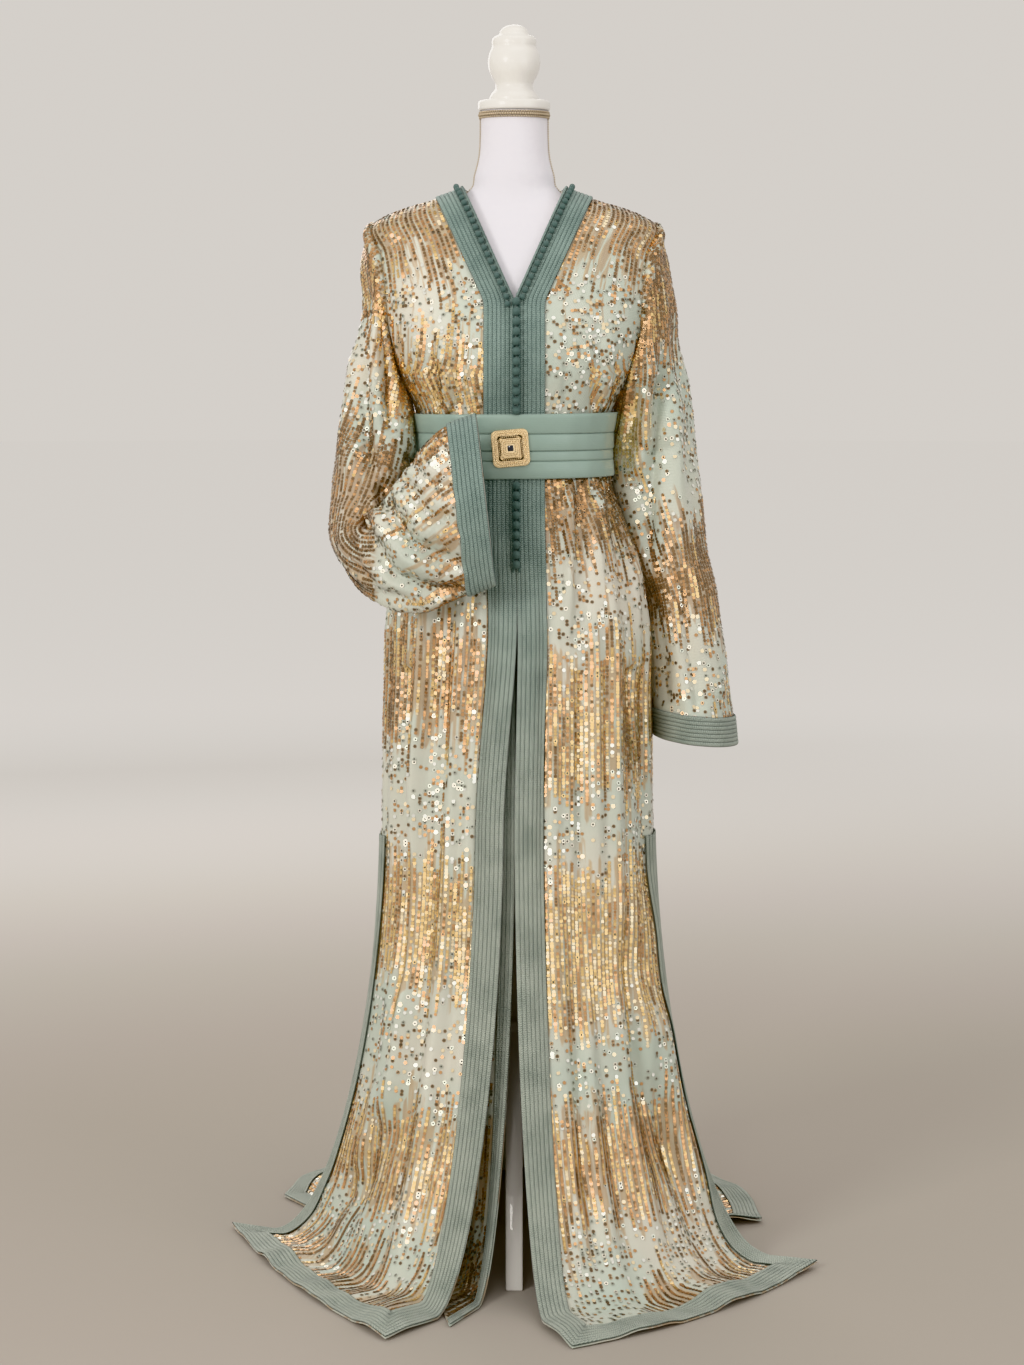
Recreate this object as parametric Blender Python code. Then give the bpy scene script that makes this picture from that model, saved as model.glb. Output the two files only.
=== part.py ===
"""Moroccan kaftan with belt, worn by a limbless dress form on a three-legged stand.

Metres, +Z up, the floor at Z = 0 and the front facing -Y. Left and right are the wearer's: the
left side is at +X. Lengths below are measured from the dress form's axis; AXIS says where that
axis stands, so that the whole is centred on the frame's Z axis.

Every cloth piece is a grid of points worked out from the section, hem and sleeve tables below.
Its wall is built outwards along the grid's normals, and what is sewn on a piece is made from that
piece's own points, moved out.
"""

import math
from collections import namedtuple

import bmesh
import bpy
import numpy as np

# ---------------------------------------------------------------- driving dimensions
AXIS = (-0.0060, -0.0165)

CLOTH_WALL = 0.0016
TRIM_WALL = 0.0020
TRIM_WIDTH = 0.040
GAP = 0.0005
SEAM_GAP = 0.0003
NECK_GAP = 0.0014

FLOOR_LIFT = 0.0016
UNDERLAP_INSET = (0.0070, 0.0120)

NECK_POINT_Z = 1.487
SHOULDER_TIP_Z = 1.442
ARMPIT_Z = 1.240
NECK_HALF_WIDTH = 0.068
V_BOTTOM_Z = 1.337
NAPE_Z = 1.470
NECK_SHARE = 0.355
ARMHOLE_HALF_DEPTH = 0.055
SLIT_TOP_Z = 0.600
CENTRE_DRIFT = 0.020
SKIRT_LEAN = 0.0055

BELT_Z = (1.0985, 1.1840)
BELT_CLEARANCE = 0.0058
BELT_WALL = 0.0020
BUCKLE_CENTRE = (-0.005, 1.140)
BUCKLE_HALF = 0.025
BUCKLE_TILT = math.radians(5.0)
STONE_RADIUS = 0.0042

BUTTON_RADIUS = 0.0054
BUTTON_PITCH = 0.0132
KNOT_RADIUS = 0.0036
BUTTON_STAND_OFF = 0.0010

# Body of the garment: one row for each horizontal section.
Section = namedtuple("Section", "z half_width front back power")
BODY = [
    Section(1.500, 0.040, 0.034, 0.060, 2.2),
    Section(1.487, 0.068, 0.044, 0.064, 2.2),
    Section(1.470, 0.116, 0.054, 0.070, 2.3),
    Section(1.457, 0.158, 0.061, 0.076, 2.5),
    Section(1.442, 0.188, 0.069, 0.082, 2.7),
    Section(1.400, 0.193, 0.086, 0.094, 2.7),
    Section(1.340, 0.187, 0.104, 0.102, 2.6),
    Section(1.290, 0.176, 0.118, 0.102, 2.5),
    Section(1.240, 0.160, 0.118, 0.096, 2.3),
    Section(1.184, 0.1325, 0.103, 0.084, 2.2),
    Section(1.141, 0.1265, 0.101, 0.082, 2.1),
    Section(1.098, 0.1290, 0.102, 0.086, 2.1),
    Section(1.050, 0.146, 0.109, 0.099, 2.1),
    Section(0.990, 0.166, 0.118, 0.114, 2.1),
    Section(0.925, 0.178, 0.125, 0.126, 2.1),
    Section(0.800, 0.184, 0.131, 0.136, 2.1),
    Section(0.600, 0.188, 0.137, 0.146, 2.1),
]

# Skirt below the slits: where each line of the cloth meets the floor, and its hem.
Rail = namedtuple("Rail", "across floor_x floor_y hem_x hem_y")
RIGHT_FRONT_HEM = [
    Rail(0.00, -0.101, -0.320, -0.167, -0.398),
    Rail(0.25, -0.143, -0.275, -0.211, -0.330),
    Rail(0.50, -0.203, -0.200, -0.271, -0.235),
    Rail(0.75, -0.275, -0.095, -0.339, -0.100),
    Rail(1.00, -0.348, 0.055, -0.410, 0.079),
]
LEFT_FRONT_HEM = [
    Rail(0.00, 0.037, -0.345, 0.074, -0.427),
    Rail(0.25, 0.105, -0.315, 0.147, -0.385),
    Rail(0.50, 0.187, -0.268, 0.232, -0.322),
    Rail(0.75, 0.272, -0.185, 0.327, -0.225),
    Rail(1.00, 0.359, -0.082, 0.422, -0.102),
]
BACK_HEM = [
    Rail(0.00, 0.297, 0.075, 0.362, 0.100),
    Rail(0.17, 0.252, 0.190, 0.342, 0.250),
    Rail(0.33, 0.162, 0.290, 0.237, 0.405),
    Rail(0.50, -0.003, 0.330, -0.003, 0.460),
    Rail(0.67, -0.163, 0.290, -0.228, 0.400),
    Rail(0.83, -0.238, 0.205, -0.313, 0.320),
    Rail(1.00, -0.273, 0.120, -0.345, 0.225),
]
UNDERLAP_HEM = [
    Rail(0.00, -0.046, -0.272, -0.085, -0.346),
    Rail(0.50, -0.072, -0.212, -0.102, -0.250),
    Rail(1.00, -0.092, -0.165, -0.118, -0.192),
]
UNDERLAP_Z = (0.985, 0.600)
UNDERLAP_X = (-0.0040, -0.088)

# Largest folds of the skirt: place across the panel, width, depth and the height it starts at.
Fold = namedtuple("Fold", "across width depth top_z")
RIGHT_FRONT_FOLDS = [
    Fold(0.46, 0.060, -0.012, 1.00),
    Fold(0.60, 0.050, 0.007, 0.95),
    Fold(0.72, 0.060, -0.012, 0.92),
]
LEFT_FRONT_FOLDS = [
    Fold(0.40, 0.050, -0.014, 1.04),
    Fold(0.54, 0.060, 0.008, 0.98),
    Fold(0.70, 0.055, -0.012, 0.95),
]
BACK_FOLDS = [
    Fold(0.22, 0.035, -0.012, 0.95),
    Fold(0.36, 0.035, -0.016, 1.02),
    Fold(0.50, 0.040, -0.012, 0.98),
    Fold(0.64, 0.035, -0.016, 1.02),
    Fold(0.78, 0.035, -0.012, 0.95),
]

# Sleeves: one row for each ring after the armhole, between its outer and its inner point.
Ring = namedtuple("Ring", "outer_x outer_y outer_z inner_x inner_y inner_z half_depth")
LEFT_SLEEVE = [
    Ring(0.2030, 0.000, 1.412, 0.1690, 0.000, 1.224, 0.0585),
    Ring(0.2120, 0.004, 1.365, 0.1590, 0.006, 1.200, 0.0600),
    Ring(0.2240, 0.012, 1.305, 0.1490, 0.014, 1.165, 0.0600),
    Ring(0.2350, 0.020, 1.225, 0.1425, 0.024, 1.125, 0.0600),
    Ring(0.2440, 0.026, 1.160, 0.1430, 0.030, 1.090, 0.0610),
    Ring(0.2580, 0.032, 1.063, 0.1640, 0.035, 1.020, 0.0630),
    Ring(0.2760, 0.036, 0.937, 0.1890, 0.038, 0.925, 0.0680),
    Ring(0.2910, 0.037, 0.845, 0.1950, 0.039, 0.850, 0.0730),
    Ring(0.3060, 0.038, 0.759, 0.1990, 0.039, 0.772, 0.0790),
    Ring(0.3110, 0.038, 0.720, 0.1995, 0.039, 0.734, 0.0810),
]
RIGHT_SLEEVE = [
    Ring(-0.2025, 0.000, 1.410, -0.1690, -0.003, 1.223, 0.0580),
    Ring(-0.2100, 0.000, 1.350, -0.1640, -0.014, 1.198, 0.0575),
    Ring(-0.2220, 0.000, 1.250, -0.1500, -0.044, 1.160, 0.0520),
    Ring(-0.2350, -0.004, 1.160, -0.1500, -0.068, 1.110, 0.0460),
    Ring(-0.2450, -0.014, 1.080, -0.1720, -0.080, 1.068, 0.0420),
    Ring(-0.2430, -0.048, 1.014, -0.1960, -0.092, 1.050, 0.0380),
    Ring(-0.2210, -0.092, 0.967, -0.2000, -0.114, 1.046, 0.0370),
    Ring(-0.1800, -0.130, 0.934, -0.1830, -0.138, 1.062, 0.0370),
    Ring(-0.1270, -0.156, 0.926, -0.1460, -0.156, 1.112, 0.0360),
    Ring(-0.0650, -0.168, 0.948, -0.0910, -0.166, 1.168, 0.0340),
    Ring(-0.0260, -0.171, 0.965, -0.0500, -0.170, 1.184, 0.0330),
]
SLEEVE_SIDES = 18
SLEEVE_STAND_OFF = 0.0036
SLEEVE_ROOT = 0.0060

# Dress form: its sections, and its turned parts as radius and height.
FORM = [
    Section(0.880, 0.148, 0.094, 0.100, 2.1),
    Section(0.900, 0.163, 0.106, 0.112, 2.1),
    Section(0.940, 0.167, 0.108, 0.114, 2.1),
    Section(0.990, 0.158, 0.106, 0.104, 2.1),
    Section(1.050, 0.137, 0.100, 0.090, 2.1),
    Section(1.098, 0.1215, 0.095, 0.079, 2.1),
    Section(1.141, 0.1190, 0.093, 0.075, 2.1),
    Section(1.184, 0.1245, 0.095, 0.077, 2.2),
    Section(1.240, 0.150, 0.108, 0.087, 2.3),
    Section(1.290, 0.165, 0.109, 0.094, 2.4),
    Section(1.340, 0.174, 0.096, 0.094, 2.5),
    Section(1.400, 0.180, 0.078, 0.086, 2.5),
    Section(1.432, 0.170, 0.064, 0.076, 2.5),
    Section(1.448, 0.143, 0.056, 0.070, 2.4),
    Section(1.460, 0.117, 0.050, 0.065, 2.2),
    Section(1.472, 0.083, 0.045, 0.060, 2.1),
    Section(1.488, 0.0585, 0.0435, 0.055, 2.0),
    Section(1.506, 0.0535, 0.0450, 0.052, 2.0),
    Section(1.530, 0.0475, 0.0450, 0.048, 2.0),
    Section(1.560, 0.0455, 0.0450, 0.046, 2.0),
    Section(1.593, 0.0455, 0.0450, 0.046, 2.0),
]
FORM_SIDES = 32
Turned = namedtuple("Turned", "radius z")
CAP = [
    Turned(0.0000, 1.5935),
    Turned(0.0475, 1.5935),
    Turned(0.0492, 1.5955),
    Turned(0.0492, 1.6050),
    Turned(0.0475, 1.6070),
    Turned(0.0000, 1.6070),
]
FINIAL = [
    Turned(0.0000, 1.6075),
    Turned(0.0334, 1.6075),
    Turned(0.0334, 1.6110),
    Turned(0.0310, 1.6160),
    Turned(0.0258, 1.6215),
    Turned(0.0246, 1.6280),
    Turned(0.0290, 1.6360),
    Turned(0.0338, 1.6460),
    Turned(0.0358, 1.6580),
    Turned(0.0340, 1.6700),
    Turned(0.0296, 1.6785),
    Turned(0.0303, 1.6830),
    Turned(0.0300, 1.6890),
    Turned(0.0262, 1.6925),
    Turned(0.0205, 1.6945),
    Turned(0.0186, 1.7010),
    Turned(0.0130, 1.7055),
    Turned(0.0060, 1.7078),
    Turned(0.0000, 1.7080),
]
POST = [
    Turned(0.0000, 0.3355),
    Turned(0.0125, 0.3355),
    Turned(0.0125, 0.8795),
    Turned(0.0000, 0.8795),
]
HUB = [
    Turned(0.0000, 0.2300),
    Turned(0.0290, 0.2300),
    Turned(0.0320, 0.2330),
    Turned(0.0320, 0.3320),
    Turned(0.0290, 0.3350),
    Turned(0.0000, 0.3350),
]
NECK_BRAID_Z = (1.5830, 1.5925)
LEG_WIDTH = 0.024
LEG_ANGLES = (-90.0, 30.0, 150.0)
# A leg's side view: distance from the axis and height.
Corner = namedtuple("Corner", "reach z")
LEG = [
    Corner(0.0325, 0.320),
    Corner(0.0325, 0.245),
    Corner(0.1250, 0.100),
    Corner(0.1620, 0.000),
    Corner(0.2000, 0.000),
    Corner(0.1500, 0.118),
    Corner(0.0700, 0.250),
]

# Colours: linear base colour, roughness, metallic.
Finish = namedtuple("Finish", "name colour roughness metallic")
SEQUINNED = Finish("sequinned_cloth", (0.56, 0.44, 0.27), 0.45, 0.3)
BRAID = Finish("sage_braid", (0.20, 0.30, 0.25), 0.65, 0.0)
SATIN = Finish("sage_satin", (0.32, 0.45, 0.39), 0.35, 0.0)
GILT = Finish("gilt", (0.80, 0.55, 0.22), 0.30, 1.0)
STONE = Finish("stone", (0.02, 0.03, 0.06), 0.10, 0.0)
JERSEY = Finish("form_jersey", (0.85, 0.84, 0.87), 0.75, 0.0)
WHITE_PAINT = Finish("white_paint", (0.86, 0.85, 0.82), 0.35, 0.0)
BEADED = Finish("beaded_braid", (0.62, 0.54, 0.42), 0.50, 0.2)


# ---------------------------------------------------------------- tables and sections
def smooth_step(value):
    """0 below 0, 1 above 1, and an S-curve between."""
    value = np.clip(value, 0.0, 1.0)
    return value * value * (3.0 - 2.0 * value)


def column_at(rows, key, column, at):
    """A column of a table, read between its rows on a smooth curve."""
    ordered = sorted(rows, key=lambda row: getattr(row, key))
    knots = np.array([getattr(row, key) for row in ordered])
    values = np.array([getattr(row, column) for row in ordered])
    slopes = np.gradient(values, knots)
    at = np.clip(np.asarray(at, float), knots[0], knots[-1])
    index = np.clip(np.searchsorted(knots, at) - 1, 0, len(knots) - 2)
    width = knots[index + 1] - knots[index]
    t = (at - knots[index]) / width
    start = (1 + 2 * t) * (1 - t) ** 2 * values[index] + t * (1 - t) ** 2 * width * slopes[index]
    end = t * t * (3 - 2 * t) * values[index + 1] - t * t * (1 - t) * width * slopes[index + 1]
    return start + end


def section_at(z, out=0.0, table=BODY):
    """Half-width, front depth, back depth and power of a section at a height."""
    sizes = [column_at(table, "z", column, z) + out for column in ("half_width", "front", "back")]
    return (*sizes, column_at(table, "z", "power", z))


def body_point(angle, z, out=0.0, table=BODY):
    """A point of the body, its angle measured from the front centre towards +X."""
    angle, z = np.broadcast_arrays(np.asarray(angle, float), np.asarray(z, float))
    width, front, back, power = section_at(z, out, table)
    sine, cosine = np.sin(angle), np.cos(angle)
    depth = np.where(cosine > 0, front, back)
    x = width * np.sign(sine) * np.abs(sine) ** (2.0 / power)
    y = -depth * np.sign(cosine) * np.abs(cosine) ** (2.0 / power)
    return np.stack([x, y, z], axis=-1)


def lean(z):
    """The skirt hangs a little towards the left below the belt."""
    shift = SKIRT_LEAN * smooth_step((1.07 - np.asarray(z, float)) / 0.22)
    return np.stack([shift, 0.0 * shift, 0.0 * shift], axis=-1)


def angle_at_x(x, z):
    """The angle at which the front of the body is x wide of the centre."""
    width, _, _, power = section_at(z)
    return np.sign(x) * np.arcsin(np.clip(np.abs(x) / width, 0.0, 1.0) ** (power / 2.0))


def angle_at_y(y, z):
    """The angle at which the body's side at +X is y behind the axis."""
    _, front, back, power = section_at(z)
    share = np.clip(np.abs(y) / np.where(y < 0, front, back), 0.0, 1.0)
    turn = np.arccos(share ** (power / 2.0))
    return np.where(y < 0, turn, math.pi - turn)


def armhole(v):
    """Height and half-depth of the armhole, from the shoulder tip (0) to the armpit (1)."""
    middle, half = (SHOULDER_TIP_Z + ARMPIT_Z) / 2, (SHOULDER_TIP_Z - ARMPIT_Z) / 2
    depth = np.maximum(ARMHOLE_HALF_DEPTH * np.sin(math.pi * v), SEAM_GAP)
    return middle + half * np.cos(math.pi * v), depth


def centre_x(z, side):
    """Where a front edge hangs: the centre line, drifting to the right lower down."""
    drift = -CENTRE_DRIFT * smooth_step((0.95 - z) / 0.35) * (0.25 if side > 0 else 1.0)
    return drift + side * 0.0004


# ---------------------------------------------------------------- surfaces of the panels
# Each surface takes a place across it (0 to 1) and a place down it: 0 at the shoulder seam, 1 at
# the armpit, 2 at the top of the side slit and 3 at the hem.
def front_upper(u, v, side):
    """A front panel above the slit."""
    v = np.asarray(v, float)
    top = np.clip(v, 0.0, 1.0)
    side_z, depth = armhole(top)
    rise = (NECK_POINT_Z - SHOULDER_TIP_Z) * (1.0 - top) ** 1.5
    lower = np.clip(v - 1.0, 0.0, 1.0)
    side_z = side_z + (SLIT_TOP_Z - ARMPIT_Z) * lower
    edge_z = side_z + rise
    share = (edge_z - V_BOTTOM_Z) / (NECK_POINT_Z - V_BOTTOM_Z)
    edge_x = np.where(share > 0.0, NECK_HALF_WIDTH * share + 0.0004, centre_x(edge_z, side) * side)
    inner = np.where(share >= 0.9999, angle_at_y(-SEAM_GAP, edge_z), angle_at_x(edge_x, edge_z))
    outer = angle_at_y(-depth, side_z)
    z = edge_z + (side_z - edge_z) * u
    angle = inner + (outer - inner) * u
    angle = np.where(top <= 0.0, angle_at_y(-SEAM_GAP, z), angle)
    return body_point(angle, z) * np.array([side, 1.0, 1.0]) + lean(z)


def back_upper(u, v):
    """The back panel above the slits, from the left side (0) to the right side (1)."""
    u, v = np.broadcast_arrays(np.asarray(u, float), np.asarray(v, float))
    half = 1.0 - 2.0 * np.abs(u - 0.5)
    sign = np.where(u <= 0.5, 1.0, -1.0)
    lower = np.clip(v - 1.0, 0.0, 1.0)
    z = ARMPIT_Z + (SLIT_TOP_Z - ARMPIT_Z) * lower
    seam = angle_at_y(np.full_like(z, SEAM_GAP), z)
    below = body_point(seam + (math.pi - seam) * half, z)
    result = below * np.stack([sign, np.ones_like(sign), np.ones_like(sign)], axis=-1)
    for place in np.ndindex(v.shape):
        if v[place] < 1.0:
            result[place] = back_yoke(float(half[place]), float(v[place]))
            result[place][0] *= sign[place]
    return result + lean(z)


def back_yoke(half, v):
    """A point of one half of the back above the armpit, spaced evenly down each line."""
    steps = np.linspace(0.0, 1.0, 61)
    edge_z, depth = armhole(steps)
    drop = (SHOULDER_TIP_Z - edge_z) / (SHOULDER_TIP_Z - ARMPIT_Z)
    edge_x = body_point(angle_at_y(depth, edge_z), edge_z)[:, 0]
    neck = 2.0 * NECK_SHARE
    if half <= neck:
        top_z = SHOULDER_TIP_Z + (NECK_POINT_Z - SHOULDER_TIP_Z) * half / neck
        top_x = body_point(angle_at_y(SEAM_GAP, top_z), top_z)[0]
    else:
        turn = math.pi / 2 * (half - neck) / (1.0 - neck)
        top_z = NECK_POINT_Z - (NECK_POINT_Z - NAPE_Z) * smooth_step(turn / (math.pi / 2))
        top_x = NECK_HALF_WIDTH * math.cos(turn)
    seam = angle_at_y(SEAM_GAP, ARMPIT_Z)
    low_x = body_point(seam + (math.pi - seam) * half, ARMPIT_Z)[0]
    z = top_z + (ARMPIT_Z - top_z) * drop
    swing = edge_x - (edge_x[0] + (edge_x[-1] - edge_x[0]) * drop)
    x = top_x + (low_x - top_x) * drop + swing * (1.0 - half) ** 2
    width, _, back, power = section_at(z)
    y = back * (1.0 - np.clip(x / width, 0.0, 1.0) ** power) ** (1.0 / power)
    y[0] = max(y[0], SEAM_GAP) if half > neck else SEAM_GAP
    line = np.stack([x, y, z], axis=-1)
    along = np.concatenate([[0.0], np.cumsum(np.linalg.norm(np.diff(line, axis=0), axis=1))])
    at = v * along[-1] if half <= 0.0 else yoke_place(v, along[-1])
    return np.array([np.interp(at, along, line[:, axis]) for axis in range(3)])


YOKE_TRIM_V = 0.16


def yoke_place(v, length):
    """Distance down a line of the yoke: the first part of its rows spans the trim's width."""
    if v <= YOKE_TRIM_V:
        return TRIM_WIDTH * v / YOKE_TRIM_V
    return TRIM_WIDTH + (length - TRIM_WIDTH) * (v - YOKE_TRIM_V) / (1.0 - YOKE_TRIM_V)


def skirt(u, share, start, hem_table, lift):
    """The skirt below the slits: a line leaves the section above, reaches the floor and runs to
    its hem. share is the part of the line's length used."""
    u, share = np.broadcast_arrays(np.asarray(u, float), np.asarray(share, float))
    floor, hem = (
        np.stack(
            [column_at(hem_table, "across", name, u) for name in names] + [np.full_like(u, lift)],
            axis=-1,
        )
        for names in (("floor_x", "floor_y"), ("hem_x", "hem_y"))
    )
    ease = (floor - start) * np.array([1.0, 1.0, 0.0])
    drop = start[..., 2:3] - lift
    down = np.array([0.0, 0.0, 1.0])
    first = start + 0.05 * ease - 0.50 * drop * down
    second = floor - 0.50 * ease + 0.02 * drop * down
    t = np.linspace(0.0, 1.0, 49).reshape((-1,) + (1,) * (u.ndim + 1))
    arc = (1 - t) ** 3 * start + 3 * t * (1 - t) ** 2 * first + 3 * t * t * (1 - t) * second
    path = np.concatenate([arc + t**3 * floor, hem[None]], axis=0)
    step = np.linalg.norm(np.diff(path, axis=0), axis=-1)
    along = np.concatenate([np.zeros((1,) + u.shape), np.cumsum(step, axis=0)])
    points = np.empty(u.shape + (3,))
    for place in np.ndindex(u.shape):
        spot = share[place] * along[(-1,) + place]
        for axis in range(3):
            line = path[(slice(None),) + place + (axis,)]
            points[place + (axis,)] = np.interp(spot, along[(slice(None),) + place], line)
    return points, along[-1]


def underlap_upper(u, z):
    """The underlap above the slit's height, just behind the right front."""
    inset = UNDERLAP_INSET[0] + (UNDERLAP_INSET[1] - UNDERLAP_INSET[0]) * smooth_step((1.0 - z) / 0.25)
    x = UNDERLAP_X[0] + (UNDERLAP_X[1] - UNDERLAP_X[0]) * u
    return body_point(angle_at_x(x, z), z, out=-inset) + lean(z)


# ---------------------------------------------------------------- grids of points
def front_spacing(place, width):
    """Columns of a front: evenly spaced between the trims at its two edges."""
    low = TRIM_WIDTH / width
    inner = np.linspace(low, 1.0 - low, FRONT_SPANS + 1)
    return place(np.concatenate([[0.0, low / 2], inner, [1.0 - low / 2, 1.0]]))


def back_spacing(place, width):
    """Columns of the back: the ones at the neck's trim stay put, the others share the rest."""
    trim = place(np.array([TRIM_WIDTH / width / 2, TRIM_WIDTH / width]))
    half = np.array(BACK_KNOTS)
    outer = half < NECK_TRIM_SHARE
    half[outer] = trim[1] + half[outer] / NECK_TRIM_SHARE * (NECK_TRIM_SHARE - trim[1])
    half = np.concatenate([[0.0, trim[0]], half])
    return np.concatenate([half, [0.5], 1.0 - half[::-1]])


def even_places(surface, count=97):
    """Turns a share of a row's length into its place across, for one row of a surface."""
    probe = np.linspace(0.0, 1.0, count)
    steps = np.linalg.norm(np.diff(surface(probe), axis=0), axis=1)
    along = np.concatenate([[0.0], np.cumsum(steps)])
    return (lambda shares: np.interp(shares * along[-1], along, probe)), along[-1]


def panel_grid(upper, hem_table, lift, spacing, upper_rows):
    """Rows of points from the shoulder to the hem; both sides have the trim's columns."""
    rows = []
    for v in upper_rows:
        place, width = even_places(lambda u: upper(u, v))
        rows.append(upper(spacing(place, width), v))
    for share in SKIRT_ROWS + [2.0]:
        def line(u, share=share):
            start = upper(u, 2.0)
            length = skirt(u, 1.0, start, hem_table, lift)[1]
            trimmed = 1.0 - TRIM_WIDTH / length
            part = 1.0 if share > 1.0 else share * trimmed
            return skirt(u, part, start, hem_table, lift)[0]

        place, width = even_places(line, 41)
        rows.append(line(spacing(place, width)))
    return np.array(rows)


def outward(grid, sign, closed=False):
    """Unit normals of a grid of points."""
    down = np.gradient(grid, axis=0)
    if closed:
        across = np.roll(grid, -1, axis=1) - np.roll(grid, 1, axis=1)
    else:
        across = np.gradient(grid, axis=1)
    normal = sign * np.cross(across, down)
    return normal / np.maximum(np.linalg.norm(normal, axis=-1, keepdims=True), 1e-12)


def fold(grid, folds, sign, lift):
    """The grid with its largest folds pressed in; edges stay where they are."""
    across = np.linspace(0.0, 1.0, grid.shape[1])[None, :]
    z = grid[..., 2]
    depth = sum(
        f.depth
        * np.exp(-(((across - f.across) / f.width) ** 2))
        * smooth_step((f.top_z - z) / 0.35)
        * smooth_step((z - 0.04) / 0.16)
        for f in folds
    )
    moved = grid + outward(grid, sign) * depth[..., None]
    moved[..., 2] = np.maximum(moved[..., 2], lift)
    return moved


def drawn_in(grid, axis, ends):
    """The grid with its first or last line moved in by the seam's gap."""
    grid = np.moveaxis(grid.copy(), axis, 0)
    for used, edge, inner in zip(ends, (0, -1), (1, -2)):
        if used:
            towards = grid[inner] - grid[edge]
            length = np.linalg.norm(towards, axis=-1, keepdims=True)
            grid[edge] = grid[edge] + towards / length * GAP
    return np.moveaxis(grid, 0, axis)


# ---------------------------------------------------------------- solids
def material_of(finish):
    material = bpy.data.materials.get(finish.name)
    if material is None:
        material = bpy.data.materials.new(finish.name)
        material.use_nodes = True
        shader = material.node_tree.nodes["Principled BSDF"]
        shader.inputs["Base Color"].default_value = (*finish.colour, 1.0)
        shader.inputs["Roughness"].default_value = finish.roughness
        shader.inputs["Metallic"].default_value = finish.metallic
        material.diffuse_color = (*finish.colour, 1.0)
    return material


def add_solid(name, points, faces, finish):
    """An object from points about the dress form's axis, its faces turned outwards."""
    mesh = bpy.data.meshes.new(name)
    bm = bmesh.new()
    vertices = [bm.verts.new((p[0] + AXIS[0], p[1] + AXIS[1], p[2])) for p in points]
    for face in faces:
        bm.faces.new([vertices[i] for i in face])
    bmesh.ops.recalc_face_normals(bm, faces=bm.faces[:])
    bm.to_mesh(mesh)
    bm.free()
    mesh.materials.append(material_of(finish))
    obj = bpy.data.objects.new(name, mesh)
    bpy.context.scene.collection.objects.link(obj)
    return obj


def add_shell(name, inner, outer, finish, closed=False):
    """A wall between two grids of points of the same shape; closed joins the last column to the
    first."""
    rows, columns = inner.shape[:2]
    points = np.concatenate([inner.reshape(-1, 3), outer.reshape(-1, 3)])
    half = rows * columns

    def at(layer, i, j):
        return layer * half + i * columns + j % columns

    faces = []
    spans = columns if closed else columns - 1
    for i in range(rows - 1):
        for j in range(spans):
            corners = [(i, j), (i, (j + 1) % columns), (i + 1, (j + 1) % columns), (i + 1, j)]
            a, b, c, d = (inner[corner] for corner in corners)
            # Both layers are split along the shorter diagonal, so their triangles stay parallel.
            turn = 0 if np.linalg.norm(a - c) <= np.linalg.norm(b - d) else 1
            for layer in (0, 1):
                quad = [at(layer, *corners[(k + turn) % 4]) for k in range(4)]
                for triangle in ((quad[0], quad[1], quad[2]), (quad[0], quad[2], quad[3])):
                    faces.append(triangle if layer else triangle[::-1])
    for i in (0, rows - 1):
        for j in range(spans):
            quad = [at(0, i, j), at(0, i, j + 1), at(1, i, j + 1), at(1, i, j)]
            faces.append(quad if i == 0 else quad[::-1])
    if not closed:
        for j in (0, columns - 1):
            for i in range(rows - 1):
                quad = [at(0, i, j), at(0, i + 1, j), at(1, i + 1, j), at(1, i, j)]
                faces.append(quad[::-1] if j == 0 else quad)
    return add_solid(name, points, faces, finish)


def add_cloth(name, grid, sign, finish, wall=CLOTH_WALL, lift=0.0, closed=False):
    """Cloth on a grid of points, stood off by lift, with its wall outside."""
    normal = outward(grid, sign, closed)
    return add_shell(name, grid + normal * lift, grid + normal * (lift + wall), finish, closed)


def add_loops(name, loops, finish):
    """A solid through closed loops of points, its two ends closed by a face each."""
    count = len(loops[0])
    points = np.concatenate(loops)
    faces = [
        [i * count + j, i * count + (j + 1) % count, (i + 1) * count + (j + 1) % count, (i + 1) * count + j]
        for i in range(len(loops) - 1)
        for j in range(count)
    ]
    faces.append(list(range(count))[::-1])
    faces.append([(len(loops) - 1) * count + j for j in range(count)])
    return add_solid(name, points, faces, finish)


def add_ring(name, profile, point, sides, finish):
    """A band round the body: profile holds (out, z) corners, and point places one at an angle."""
    points = np.array([point(angle, out, z) for out, z in profile for angle in turns(sides)])
    count = len(profile)
    faces = [
        [i * sides + j, i * sides + (j + 1) % sides, (i + 1) % count * sides + (j + 1) % sides, (i + 1) % count * sides + j]
        for i in range(count)
        for j in range(sides)
    ]
    return add_solid(name, points, faces, finish)


def turns(sides):
    return [2 * math.pi * k / sides for k in range(sides)]


def add_turned(name, profile, sides, finish):
    """A turned solid: profile runs from the axis round to the axis."""
    loops = [
        np.array([(row.radius * math.cos(a), row.radius * math.sin(a), row.z) for a in turns(sides)])
        for row in profile
        if row.radius > 0
    ]
    return add_loops(name, loops, finish)


# ---------------------------------------------------------------- the garment
def add_trim(name, grid, sign, rows, columns, ends_across=False, gap=GAP):
    """Braid sewn on a panel, made from part of the panel's own grid."""
    normal = outward(grid, sign)
    walls = []
    for out in (CLOTH_WALL + gap, CLOTH_WALL + gap + TRIM_WALL):
        part = (grid + normal * out)[rows, columns]
        walls.append(drawn_in(part, 1, (ends_across, ends_across)))
    add_shell(name, walls[0], walls[1], BRAID)


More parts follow.
